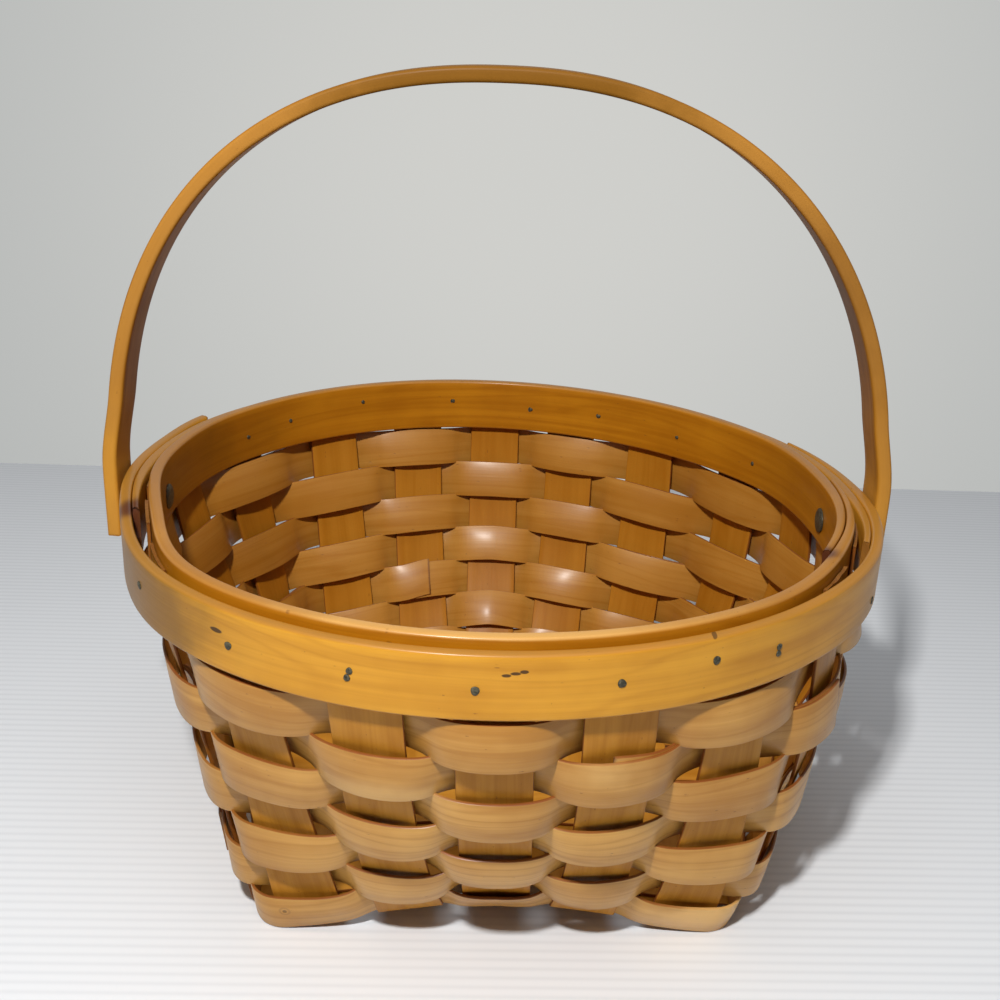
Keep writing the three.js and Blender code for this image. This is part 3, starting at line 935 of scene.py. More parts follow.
@dataclass(frozen=True)
class WoodFinish:
    """Varnished wood: veneer splints, hoops or the bow, by the colours and shares given."""

    name: str
    slot: str
    pale: tuple
    deep: tuple
    # edge: colour along the strip's long edges; on the weavers and stakes a dark red-brown that is
    # painted shade of the gaps between the pieces.
    edge: tuple
    end: tuple
    streak_width: float
    ring_share: float
    fibre_share: float
    check_depth: float
    cloud_share: float
    rough: float
    coat: float
    bump: float
    edge_reach: float = 0.9
    end_reach: float = 1.6 * MM
    shine: float = 0.3
    coat_rough: float = 0.24
    # inside: a darker colour painted on faces that look into the basket, standing for its shade:
    # painted shade.
    inside: tuple = ()
    stains_and_shade: tuple = ()
    marks: tuple = ()
    mark_colour: tuple = (0.035, 0.016, 0.006)
    fineness: Fineness = Fineness()

    def _figure(self, coat: Coat, tone: Wire) -> Figure:
        """Lays out the figure on the strip's grain map; the tone moves it from strip to strip.

        Args:
            coat: The material's bench.
            tone: The strip's own shade, which also moves its figure.

        Returns:
            The figure.
        """
        fine = self.fineness
        u, v, _ = coat.split(coat.add("ShaderNodeUVMap", {"uv_map": "grain"}))
        coords = coat.add("ShaderNodeTexCoord", None, None, "Object")
        fibres = coat.vector(u * fine.fibres[0], v * fine.fibres[1], tone * 9.0)
        streaks = coat.vector(u * fine.streaks, v / self.streak_width, tone * 17.0)
        waves = coat.vector(u * fine.waves[0], v * fine.waves[1], tone * 5.0)
        rings = (coat.noise(waves, 1.0) * fine.ring_waver + v * fine.rings).sine() * 0.5 + 0.5
        checks = coat.vector(u * fine.checks[0], v * fine.checks[1], tone)
        return Figure(
            along=u,
            over=v,
            tone=tone,
            coords=coords,
            fibres=coat.noise(fibres, 3.0, 0.6),
            streaks=coat.noise(streaks, 2.5, 0.55),
            rings=rings**fine.ring_sharpness,
            checks=coat.noise(checks, 2.0, 0.6),
            cloud=coat.noise(coat.scaled(coords, fine.clouds), 3.0, 0.55),
        )

    def _inward_shade(self, coat: Coat, coords: Wire) -> Wire:
        """Share of the painted shade on faces that look into the basket, full on faces that look at
        its middle.

        Args:
            coat: The material's bench.
            coords: Object coordinates.

        Returns:
            The share, 0 to 0.55.
        """
        facing = coat.add("ShaderNodeTexCoord", None, None, "Normal")
        x, y, _ = coat.split(coords)
        away = coat.vectors("NORMALIZE", coat.vector(x, y, 0.0))
        lean = coat.vectors("DOT_PRODUCT", facing, away, output="Value")
        return lean.ramp(-0.15, -0.55, 0.0, 0.55)

    def _wood(self, coat: Coat, figure: Figure, across: Wire, to_end: Wire) -> Wire:
        """Colour of the wood with its edge colour and darker cut ends, before the patches and marks.
        On the weavers and stakes the dark red-brown edge colour is painted shade of the gaps between
        the pieces.

        Args:
            coat: The material's bench.
            figure: The wood's figure.
            across: Place across the strip, -1 to 1.
            to_end: Metres to the nearer end of the strip.

        Returns:
            The colour.
        """
        depth = (
            (figure.streaks - 0.5)
            + (figure.rings - 0.2) * self.ring_share
            + (figure.fibres - 0.5) * self.fibre_share
            + (figure.cloud - 0.5) * self.cloud_share
            + figure.tone
            + 0.5
        )
        colour = coat.blend(depth.ramp(0.0, 1.0), self.pale, self.deep)
        # Faces that look into the basket take the inside colour: painted shade.
        if self.inside:
            colour = coat.blend(self._inward_shade(coat, figure.coords), colour, self.inside)
        # The edge colour is laid along the long edges; on the weavers and stakes this dark line is
        # painted shade.
        uneven = 0.3 + figure.cloud * 0.5 + figure.fibres * 0.5
        line = across.size().ramp(self.edge_reach, 1.0) * uneven
        colour = coat.blend(line.ramp(0.0, 1.0), colour, self.edge)
        cut = to_end.ramp(0.0, self.end_reach, 1.0, 0.0) * (0.35 + figure.fibres * 0.7)
        return coat.blend(cut.ramp(0.0, 1.0), colour, self.end)

    def _stained_and_shaded(self, coat: Coat, figure: Figure, colour: Wire) -> Wire:
        """Colour with the soft patches laid over it: stains and tone, painted shade and painted
        highlights.

        Args:
            coat: The material's bench.
            figure: The wood's figure.
            colour: The colour so far.

        Returns:
            The colour with its stains, painted shade and painted highlights.
        """
        # Patches are laid on as listed; several of them are painted shade and painted light, marked
        # where they are listed.
        for tint in self.stains_and_shade:
            reach = coat.near(figure.coords, tint.centre, tint.radii) + (figure.cloud - 0.5) * 0.9
            patch = reach.ramp(0.2, 1.1, 1.0, 0.0) * (0.75 + figure.fibres * 0.4)
            colour = coat.blend((patch * tint.share).ramp(0.0, 1.0), colour, tint.colour)
        return colour

    def _pored(self, coat: Coat, figure: Figure, colour: Wire) -> tuple[Wire, Wire]:
        """Colour with the small pores of the wood, and how deep they go.

        Args:
            coat: The material's bench.
            figure: The wood's figure.
            colour: The colour so far.

        Returns:
            The colour and the depth.
        """
        rates = self.fineness.pores
        cells = {
            "Vector": coat.vector(figure.along * rates[0], figure.over * rates[1], figure.tone),
            "Scale": 1.0,
        }
        pores = coat.add("ShaderNodeTexVoronoi", {"feature": "F1"}, cells, "Distance")
        pore = pores.ramp(0.05, 0.13, 1.0, 0.0) * figure.checks.ramp(0.5, 0.6)
        return coat.blend(pore * 0.5, colour, self.end), pore * 0.3

    def _marked(self, coat: Coat, figure: Figure, colour: Wire, dent: Wire) -> tuple[Wire, Wire]:
        """Colour and depth with the knots, scratches and dots.

        Args:
            coat: The material's bench.
            figure: The wood's figure.
            colour: The colour so far.
            dent: The depth so far.

        Returns:
            The colour and the depth.
        """
        for mark in self.marks:
            reach = coat.near(figure.coords, mark.centre, mark.radii)
            spot = (reach + (figure.fibres - 0.5) * 0.5).ramp(0.75, 1.05, 1.0, 0.0)
            if mark.ring:
                off = (reach + (figure.cloud - 0.5) * 0.3 - 1.7).size()
                ring = off.ramp(0.15, 0.55, 0.45, 0.0)
                colour = coat.blend(ring * mark.strength, colour, self.end)
            colour = coat.blend(spot * mark.strength, colour, self.mark_colour)
            dent = dent + spot * mark.strength
        return colour, dent

    def make(self) -> bpy.types.Material:
        """Builds the material from the strip's grain map and its place attribute.

        Returns:
            The finished material.
        """
        coat = Coat(self.name)
        place = coat.add("ShaderNodeAttribute", {"attribute_name": "place"}, None, "Vector")
        across, to_end, tone = coat.split(place)
        figure = self._figure(coat, tone)
        colour = self._stained_and_shaded(coat, figure, self._wood(coat, figure, across, to_end))
        colour, dent = self._marked(coat, figure, *self._pored(coat, figure, colour))
        fibres, cloud = figure.fibres, figure.cloud
        coat.set(Base_Color=colour)
        coat.set(Roughness=self.rough + (fibres - 0.5) * 0.12 + (cloud - 0.5) * 0.16 + dent * 0.2)
        coat.set(Coat_Weight=self.coat, Coat_Roughness=self.coat_rough, IOR=1.48)
        coat.set(Specular_IOR_Level=self.shine)
        relief = fibres * 0.35 + figure.streaks * 0.25 + figure.checks * self.check_depth
        coat.bump(relief + cloud * 0.2 - dent, self.bump)
        return coat.material


@dataclass(frozen=True)
class MetalFinish:
    """Dull darkened iron of the nails and rivets."""

    name: str
    slot: str
    dark: tuple
    worn: tuple
    scale: float
    pitting: float = 0.35 * MM

    def make(self) -> bpy.types.Material:
        """Builds the material with pitting and rubbed high places.

        Returns:
            The finished material.
        """
        coat = Coat(self.name)
        coords = coat.scaled(coat.add("ShaderNodeTexCoord", None, None, "Object"), self.scale)
        cloud = coat.noise(coords, 4.0, 0.6)
        fine = coat.noise(coat.scaled(coords, 3.7), 3.0, 0.6)
        rubbed = (cloud * 0.7 + fine * 0.5 - 0.1).ramp(0.35, 0.75)
        coat.set(Base_Color=coat.blend(rubbed, self.dark, self.worn), Metallic=0.55, IOR=1.5)
        coat.set(Roughness=0.38 + cloud * 0.3)
        coat.bump(cloud * 0.6 + fine * 0.4, self.pitting)
        return coat.material


@dataclass
class Piecework:
    """What the sub-assemblies share: dressing a finished piece and telling the frame of it."""

    body: Part = Part.BASKET
    made: list = field(default_factory=list)

    def finish(
        self,
        piece: bpy.types.Object,
        material: bpy.types.Material,
        slot: str,
        *nodes: str,
    ) -> None:
        """Dresses a piece and says what it stands for.

        Args:
            piece: The finished object.
            material: Its finish.
            slot: The record's material slot; not used.
            nodes: The frame nodes that it replaces.
        """
        piece.data.materials.clear()
        piece.data.materials.append(material)
        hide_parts(*nodes)
        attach(piece, self.body.value)
        self.made.append(piece)
        LOG.info("%s stands for %s", piece.name, ", ".join(nodes))


@dataclass
class Stakes(Piecework):
    """The ten upright splints, each down one wall, across the base and up the other wall."""

    wall: Wall = Wall()
    thick: float = 1.3 * MM
    top: float = 149.5 * MM
    base_lift: float = 0.85 * MM
    flat_half: float = 13.2 * MM
    bend: float = 2.6 * MM
    wall_stations: int = 60
    low_stations: tuple = (0.045, 0.03, 0.016)
    upright_stations: int = 7
    base_stations: int = 90
    turn_stations: int = 5
    places: tuple = tuple(np.linspace(-1.0, 1.0, 9))
    tones: float = 0.16
    tone_seed: int = 11
    fray: float = 0.7 * MM
    round_edge: float = 0.32 * MM
    cuts: int = 230
    cuts_across: int = 7

    def _wall_run(self, stake: int, across: float) -> tuple[np.ndarray, np.ndarray]:
        """One wall's stations from the top down, at one place across the stake.

        Args:
            stake: Stake number at this wall.
            across: Place across the stake, -1 to 1.

        Returns:
            The points and the outward directions.
        """
        wall = self.wall
        t = np.concatenate([np.linspace(1.0, 0.06, self.wall_stations), self.low_stations])
        u = stake + across * wall.half_stake(np.full_like(t, stake), t)
        points = wall.point(u, t)
        out = wall.normal(u, t)
        level = unit(points[:1] * np.array([1.0, 1.0, 0.0]))
        blend = ease(t, 0.96, 1.0)[:, None]
        out = unit(out * (1 - blend) + level * blend)
        count = self.upright_stations
        upright = np.repeat(points[:1], count, axis=0)
        upright[:, 2] = np.linspace(self.top, wall.top, count + 1)[:-1]
        return np.concatenate([upright, points]), np.concatenate([np.repeat(level, count, 0), out])

    def _lift(self, along: np.ndarray, sign: int) -> np.ndarray:
        """Rise and fall of a stake through the base weave.

        Args:
            along: Places along the stake from the middle of the base.
            sign: 1 or -1 for above or below at its first crossing.

        Returns:
            The height above the base.
        """
        centres = self.wall.base_edge(np.arange(self.wall.per_side))[:, 0]
        heights = np.full_like(along, sign * self.base_lift)
        for crossing in range(1, self.wall.per_side):
            side = sign if crossing % 2 == 0 else -sign
            gap_start = centres[crossing - 1] + self.flat_half
            gap_end = centres[crossing] - self.flat_half
            heights += 2.0 * side * self.base_lift * ease(along, gap_start, gap_end)
        return heights

    def _base_run(
        self, stake: int, across: float, along_y: bool, sign: int
    ) -> tuple[np.ndarray, np.ndarray]:
        """The stations of a stake in the woven base, from its first wall to its second.

        Args:
            stake: Stake number at its first wall.
            across: Place across the stake, -1 to 1.
            along_y: True for a front-to-back stake.
            sign: 1 or -1 for above or below at its first crossing.

        Returns:
            The points and the outward directions.
        """
        wall = self.wall
        edge = wall.base_edge(stake + across * wall.half_stake(np.array(float(stake)), 0.0))
        side = edge[0] if along_y else edge[1]
        end = abs(edge[1]) if along_y else abs(edge[0])
        along = np.linspace(-end + self.bend, end - self.bend, self.base_stations)
        x, y = (np.full_like(along, side), along) if along_y else (along, np.full_like(along, side))
        z = wall.base_height(x, y) + self._lift(along, sign)
        step = 0.5 * MM
        slope_x = (wall.base_height(x + step, y) - wall.base_height(x - step, y)) / (2 * step)
        slope_y = (wall.base_height(x, y + step) - wall.base_height(x, y - step)) / (2 * step)
        out = wall.turn_base(unit(np.stack([slope_x, slope_y, -np.ones_like(x)], axis=-1)))
        points = wall.place_base(np.stack([x, y, z], axis=-1))
        if not along_y:
            points, out = points[::-1], out[::-1]
        return points, out

    def _turn(self, inside: tuple, outside: tuple, u: float) -> tuple[np.ndarray, np.ndarray]:
        """A rounded turn between the base and a wall.

        Args:
            inside: Last point and direction in the base.
            outside: First point and direction on the wall.
            u: Place round the wall.

        Returns:
            The points and the outward directions between them.
        """
        corner = self.wall.point(np.array(u), np.array(0.0))
        share = np.linspace(0.0, 1.0, self.turn_stations + 2)[1:-1, None]
        points = (
            inside[0] * (1 - share) ** 2 + corner * 2 * share * (1 - share) + outside[0] * share**2
        )
        out = unit(inside[1] * (1 - share) + outside[1] * share)
        return points, out

    def route(self, first: int, second: int, along_y: bool, sign: int) -> Route:
        """The whole way of one stake.

        Args:
            first: Stake number at its first wall.
            second: Stake number at the opposite wall.
            along_y: True for a front-to-back stake.
            sign: 1 or -1 for above or below at its first crossing.

        Returns:
            The route.
        """
        wall = self.wall
        columns = []
        for across in self.places:
            down = self._wall_run(first, across)
            up = tuple(part[::-1] for part in self._wall_run(second, -across))
            flat = self._base_run(first, across, along_y, sign)
            half_first = float(wall.half_stake(np.array(float(first)), 0.0))
            half_second = float(wall.half_stake(np.array(float(second)), 0.0))
            turn_down = self._turn(
                (flat[0][0], flat[1][0]), (down[0][-1], down[1][-1]), first + across * half_first
            )
            turn_up = self._turn(
                (flat[0][-1], flat[1][-1]), (up[0][0], up[1][0]), second - across * half_second
            )
            turn_down = tuple(part[::-1] for part in turn_down)
            parts = (down, turn_down, flat, turn_up, up)
            columns.append(tuple(np.concatenate([part[i] for part in parts]) for i in (0, 1)))
        points = np.stack([column[0] for column in columns], axis=1)
        out = np.stack([column[1] for column in columns], axis=1)
        return Route(points, out)

    def weave(self, finish: WoodFinish) -> None:
        """Makes all ten stakes.

        Args:
            finish: Their wood.
        """
        material = finish.make()
        rng = random.Random(self.tone_seed)
        per_side = self.wall.per_side
        for n in range(per_side):
            sign = -1 if n % 2 == 0 else 1
            opposite = 3 * per_side - 1 - n
            self._cut(f"stake_front_back_{n + 1}", n, opposite, True, sign, rng, material, finish)
        for n in range(per_side):
            sign = 1 if n % 2 == 0 else -1
            first = per_side + n
            opposite = self.wall.stakes - 1 - n
            self._cut(f"stake_left_right_{n + 1}", first, opposite, False, sign, rng, material, finish)

    def _cut(
        self,
        node: str,
        first: int,
        second: int,
        along_y: bool,
        sign: int,
        rng: random.Random,
        material: bpy.types.Material,
        finish: WoodFinish,
    ) -> None:
        """Cuts one stake and lays it in place.

        Args:
            node: The frame node that it replaces.
            first: Stake number at its first wall.
            second: Stake number at the opposite wall.
            along_y: True for a front-to-back stake.
            sign: 1 or -1 for above or below at its first crossing.
            rng: Source of the stake's tone.
            material: Its material.
            finish: The finish that the material was made from.
        """
        route = self.route(first, second, along_y, sign)
        plank = Plank(
            name="wood_" + node,
            length=route.length,
            width=self.wall.stake_width,
            thick=self.thick,
            round_edge=self.round_edge,
            cuts=self.cuts,
            cuts_across=self.cuts_across,
            seed=first + 1,
            tone=rng.uniform(-self.tones, self.tones),
            fray_start=self.fray,
            fray_end=self.fray,
        )
        self.finish(plank.bend(plank.saw(), route), material, finish.slot, node)


@dataclass
class Weavers(Piecework):
    """The seven hoops woven round the stakes, each a strip whose two ends lap."""

    wall: Wall = Wall()
    rows: int = 7
    width: float = 19.0 * MM
    thick: float = 1.2 * MM
    swings: tuple = (5.0 * MM, 3.0 * MM)
    low_row_swings: tuple = (1.6 * MM, 3.4 * MM)
    flatness: float = 1.2
    rows_start: float = 0.011
    rows_end: float = 0.993
    low_slip: float = 1.2 * MM
    low_drop: float = 0.25 * MM
    lap: float = 2.15
    peek: float = 1.5 * MM
    peek_run: float = 0.42
    belly: float = 0.16
    drift: float = 0.22 * MM
    lap_layer: float = 1.26 * MM
    lap_ease: float = 0.5
    ends: tuple = (14.1, 2.93, 17.13, 8.1, 12.9, 16.9, 6.95)
    stations: int = 620
    way_seed: int = 50
    tones: float = 0.14
    tone_seed: int = 23
    grain_seed: int = 70
    fray: float = 0.5 * MM
    round_edge: float = 0.3 * MM
    cuts: int = 600

    def route(self, row: int) -> Route:
        """The way of one row's strip, with its lapped ends one over the other.

        Args:
            row: Row number, 1 at the top.

        Returns:
            The route.
        """
        wall = self.wall
        rng = np.random.default_rng(self.way_seed + row)
        side = Side.OUTSIDE if row % 2 == 1 else Side.INSIDE
        run = np.linspace(0.0, wall.stakes + self.lap, self.stations)
        u = self.ends[row - 1] + run
        swing = np.cos(math.pi * u)
        wave = side.value * swing * (1.0 + self.flatness) / (1.0 + self.flatness * np.abs(swing))
        nearest = np.mod(np.round(u).astype(int), wall.stakes)
        crest = swing**2
        lowest = row == self.rows
        fullness = 0.0 if lowest else self.belly
        belly = 1.0 + rng.uniform(0.0, 1.0, wall.stakes)[nearest] * fullness * crest
        drift = rng.uniform(-1.0, 1.0, wall.stakes)[nearest] * self.drift
        head = 1.0 - ease(run, self.lap, self.lap + self.lap_ease)
        tail = ease(run, wall.stakes - self.lap_ease, wall.stakes)
        lapped = self.lap_layer * (tail * (1.0 + wave) / 2.0 - head * (1.0 - wave) / 2.0)
        pitch = (self.rows_end - self.rows_start) / self.rows
        length = wall.length()
        middle = self.rows_end - (row - 0.5) * pitch
        slip = self.low_slip * wave + self.low_drop if lowest else 0.0
        end_peek = 1.0 - ease(run, 0.0, self.peek_run)
        rise = drift * crest - slip + self.peek * end_peek * (1.0 if row > 1 else 0.0)
        centre = middle + rise / length
        half = self.width / 2.0 / length
        out = wall.normal(u, np.maximum(centre, half))
        low, high = self.low_row_swings if lowest else self.swings
        columns = []
        for across in (-1.0, 0.0, 1.0):
            reach = low + (high - low) * (across + 1.0) / 2.0
            stand = reach * wave * belly + lapped
            columns.append(wall.point(u, centre + across * half) + out * stand[:, None])
        points = np.stack(columns, axis=1)
        return Route(points, np.repeat(out[:, None, :], 3, axis=1))

    def weave(self, finish: WoodFinish) -> None:
        """Makes all seven rows.

        Args:
            finish: Their wood.
        """
        material = finish.make()
        rng = random.Random(self.tone_seed)
        for row in range(1, self.rows + 1):
            route = self.route(row)
            plank = Plank(
                name=f"wood_weaver_row_{row}",
                length=route.length,
                width=self.width,
                thick=self.thick,
                round_edge=self.round_edge,
                cuts=self.cuts,
                cuts_across=1,
                seed=self.grain_seed + row,
                tone=rng.uniform(-self.tones, self.tones),
                fray_start=self.fray,
                fray_end=self.fray,
            )
            strip = plank.bend(plank.saw(), route)
            self.finish(strip, material, finish.slot, f"weaver_row_{row}")


@dataclass(frozen=True)
class HoopLength:
    """One length of hoop wood: its sizes, and how rough its two ends were torn."""

    node: str
    top: float
    height: float
    thick: float
    seed: int
    tone: float
    fray_start: float
    fray_end: float


@dataclass
class Hoops(Piecework):
    """The rim: an outer hoop in two lapped lengths and an inner hoop lapped on itself."""

    rim: Rim = Rim()
    stations: int = 400
    round_edge: float = 1.15 * MM
    round_steps: int = 4
    cuts: int = 320
    cuts_across: int = 5

    def _route(
        self, angle: np.ndarray, inner: np.ndarray, outer: np.ndarray, bottom: float, top: float
    ) -> Route:
        """A hoop's way from its faces by angle; its strip runs from bottom to top across.

        Args:
            angle: Degrees round the rim, in order.
            inner: Radius of the inner face at each.
            outer: Radius of the outer face at each.
            bottom: Height of the lower edge.
            top: Height of the upper edge.

        Returns:
            The route.
        """
        cos = np.cos(np.radians(angle))
        sin = np.sin(np.radians(angle))
        radius = (inner + outer) / 2.0
        columns = [
            np.stack([radius * cos, radius * sin, np.full_like(cos, z)], axis=-1)
            for z in (bottom, top)
        ]
        out = np.stack([cos, sin, np.zeros_like(cos)], axis=-1)
        out = np.repeat(out[:, None, :], 2, axis=1)
        thick = outer - inner
        return Route(np.stack(columns, axis=1), out, thick / thick.max())

    def _make(self, length: HoopLength, faces: tuple, finish: WoodFinish) -> None:
        """Cuts one hoop length and bends it round.

        Args:
            length: The length of hoop to make.
            faces: Its angles, inner radii and outer radii.
            finish: Its wood.
        """
        route = self._route(*faces, length.top - length.height, length.top)
        plank = Plank(
            name="wood_" + length.node,
            length=route.length,
            width=length.height,
            thick=length.thick,
            round_edge=self.round_edge,
            cuts=self.cuts,
            cuts_across=self.cuts_across,
            round_steps=self.round_steps,
            seed=length.seed,
            tone=length.tone,
            fray_start=length.fray_start,
            fray_end=length.fray_end,
        )
        strip = plank.bend(plank.saw(), route)
        self.finish(strip, finish.make(), finish.slot, length.node)

    def bend_round(self, outer: WoodFinish, inner: WoodFinish) -> None:
        """Makes the three lengths.

        Args:
            outer: Wood of the outer hoop.
            inner: Wood of the inner hoop.
        """
        rim = self.rim
        front = HoopLength(
            node="outer_band_front",
            top=rim.outer_top,
            height=rim.outer_height,
            thick=rim.outer_thick,
            seed=201,
            tone=0.0,
            fray_start=0.4 * MM,
            fray_end=0.5 * MM,
        )
        angle = np.linspace(rim.front_start, rim.front_end, self.stations)
        self._make(front, (angle, rim.front_inner(angle), rim.front_outer(angle)), outer)
        back = HoopLength(
            node="outer_band_back",
            top=rim.outer_top,
            height=rim.outer_height,
            thick=rim.outer_thick,
            seed=202,
            tone=0.05,
            fray_start=1.2 * MM,
            fray_end=2.6 * MM,
        )
        angle = np.linspace(rim.back_start, rim.back_end, self.stations)
        face = rim.back_outer(angle)
        self._make(back, (angle, face - rim.back_thick(angle), face), outer)
        inside = HoopLength(
            node="inner_band",
            top=rim.inner_top,
            height=rim.inner_height,
            thick=rim.inner_thick,
            seed=203,
            tone=0.05,
            fray_start=0.6 * MM,
            fray_end=3.0 * MM,
        )
        sweep = np.linspace(0.0, 360.0 + rim.lap_sweep, self.stations)
        self._make(inside, rim.inner_faces(sweep), inner)


@dataclass
class Bow(Piecework):
    """The bent handle with its straight square-cut legs."""

    body: Part = Part.HANDLE
    thick: float = 5.8 * MM
    width: float = 21.0 * MM
    top: float = 314.5 * MM
    leg_end: float = 125.0 * MM
    bow_start: float = 146.0 * MM
    power: float = 2.28
    pull: float = 2.5 * MM
    pull_start: float = 155.6 * MM
    pull_end: float = 185.6 * MM
    lean: float = -2.3 * MM
    leg_sweep: float = 8.0
    clearance: float = 1.1 * MM
    stations: int = 420
    leg_stations: int = 11
    fray: float = 0.3 * MM
    round_edge: float = 1.5 * MM
    round_steps: int = 5
    cuts: int = 320
    cuts_across: int = 3
    grain_seed: int = 301
    rim: Rim = Rim()

    @property
    def inner_face(self) -> float:
        """How far out the inner faces of the legs stand."""
        return self.rim.under_legs(self.leg_sweep) + self.clearance

    def route(self) -> Route:
        """The way of the handle strip from its left leg's end to its right leg's end.

        Returns:
            The route.
        """
        reach = self.inner_face + self.thick / 2.0
        rise = self.top - self.thick / 2.0 - self.bow_start
        turn = np.linspace(math.pi, 0.0, self.stations)
        turn = math.pi / 2.0 + (math.pi / 2.0) * np.sin(turn - math.pi / 2.0)
        cos = np.cos(turn)
        sin = np.maximum(np.sin(turn), 0.0)
        z = self.bow_start + rise * sin ** (2.0 / self.power)
        width = reach - self.pull * ease(z, self.pull_start, self.pull_end)
        x = np.sign(cos) * width * np.abs(cos) ** (2.0 / self.power)
        x = x + self.lean * ease(z, self.pull_start, self.top)
        leg = np.linspace(self.leg_end, self.bow_start, self.leg_stations + 1)[:-1]
        x = np.concatenate([np.full_like(leg, -reach), x, np.full_like(leg, reach)])
        z = np.concatenate([leg, z, leg[::-1]])
        along = unit(np.stack([np.gradient(x), np.gradient(z)], axis=-1))
        out = np.stack([-along[:, 1], np.zeros_like(x), along[:, 0]], axis=-1)
        columns = [
            np.stack([x, np.full_like(x, y), z], axis=-1) for y in (-self.width / 2, self.width / 2)
        ]
        return Route(np.stack(columns, axis=1), np.repeat(out[:, None, :], 2, axis=1))

    def bend_over(self, finish: WoodFinish) -> None:
        """Makes the handle.

        Args:
            finish: Its wood.
        """
        route = self.route()
        plank = Plank(
            name="wood_handle",
            length=route.length,
            width=self.width,
            thick=self.thick,
            round_edge=self.round_edge,
            cuts=self.cuts,
            cuts_across=self.cuts_across,
            round_steps=self.round_steps,
            seed=self.grain_seed,
            fray_start=self.fray,
            fray_end=self.fray,
        )
        self.finish(plank.bend(plank.saw(), route), finish.make(), finish.slot, "handle")


@dataclass(frozen=True)
class Seat:
    """Where one pin goes through the rim: its angle, its height and its two radii."""

    node: str
    angle: float
    height: float
    inside: float
    outside: float


@dataclass(frozen=True)
class Metal:
    """A metal finish once its material is made, and the record's slot for it."""

    material: bpy.types.Material
    slot: str


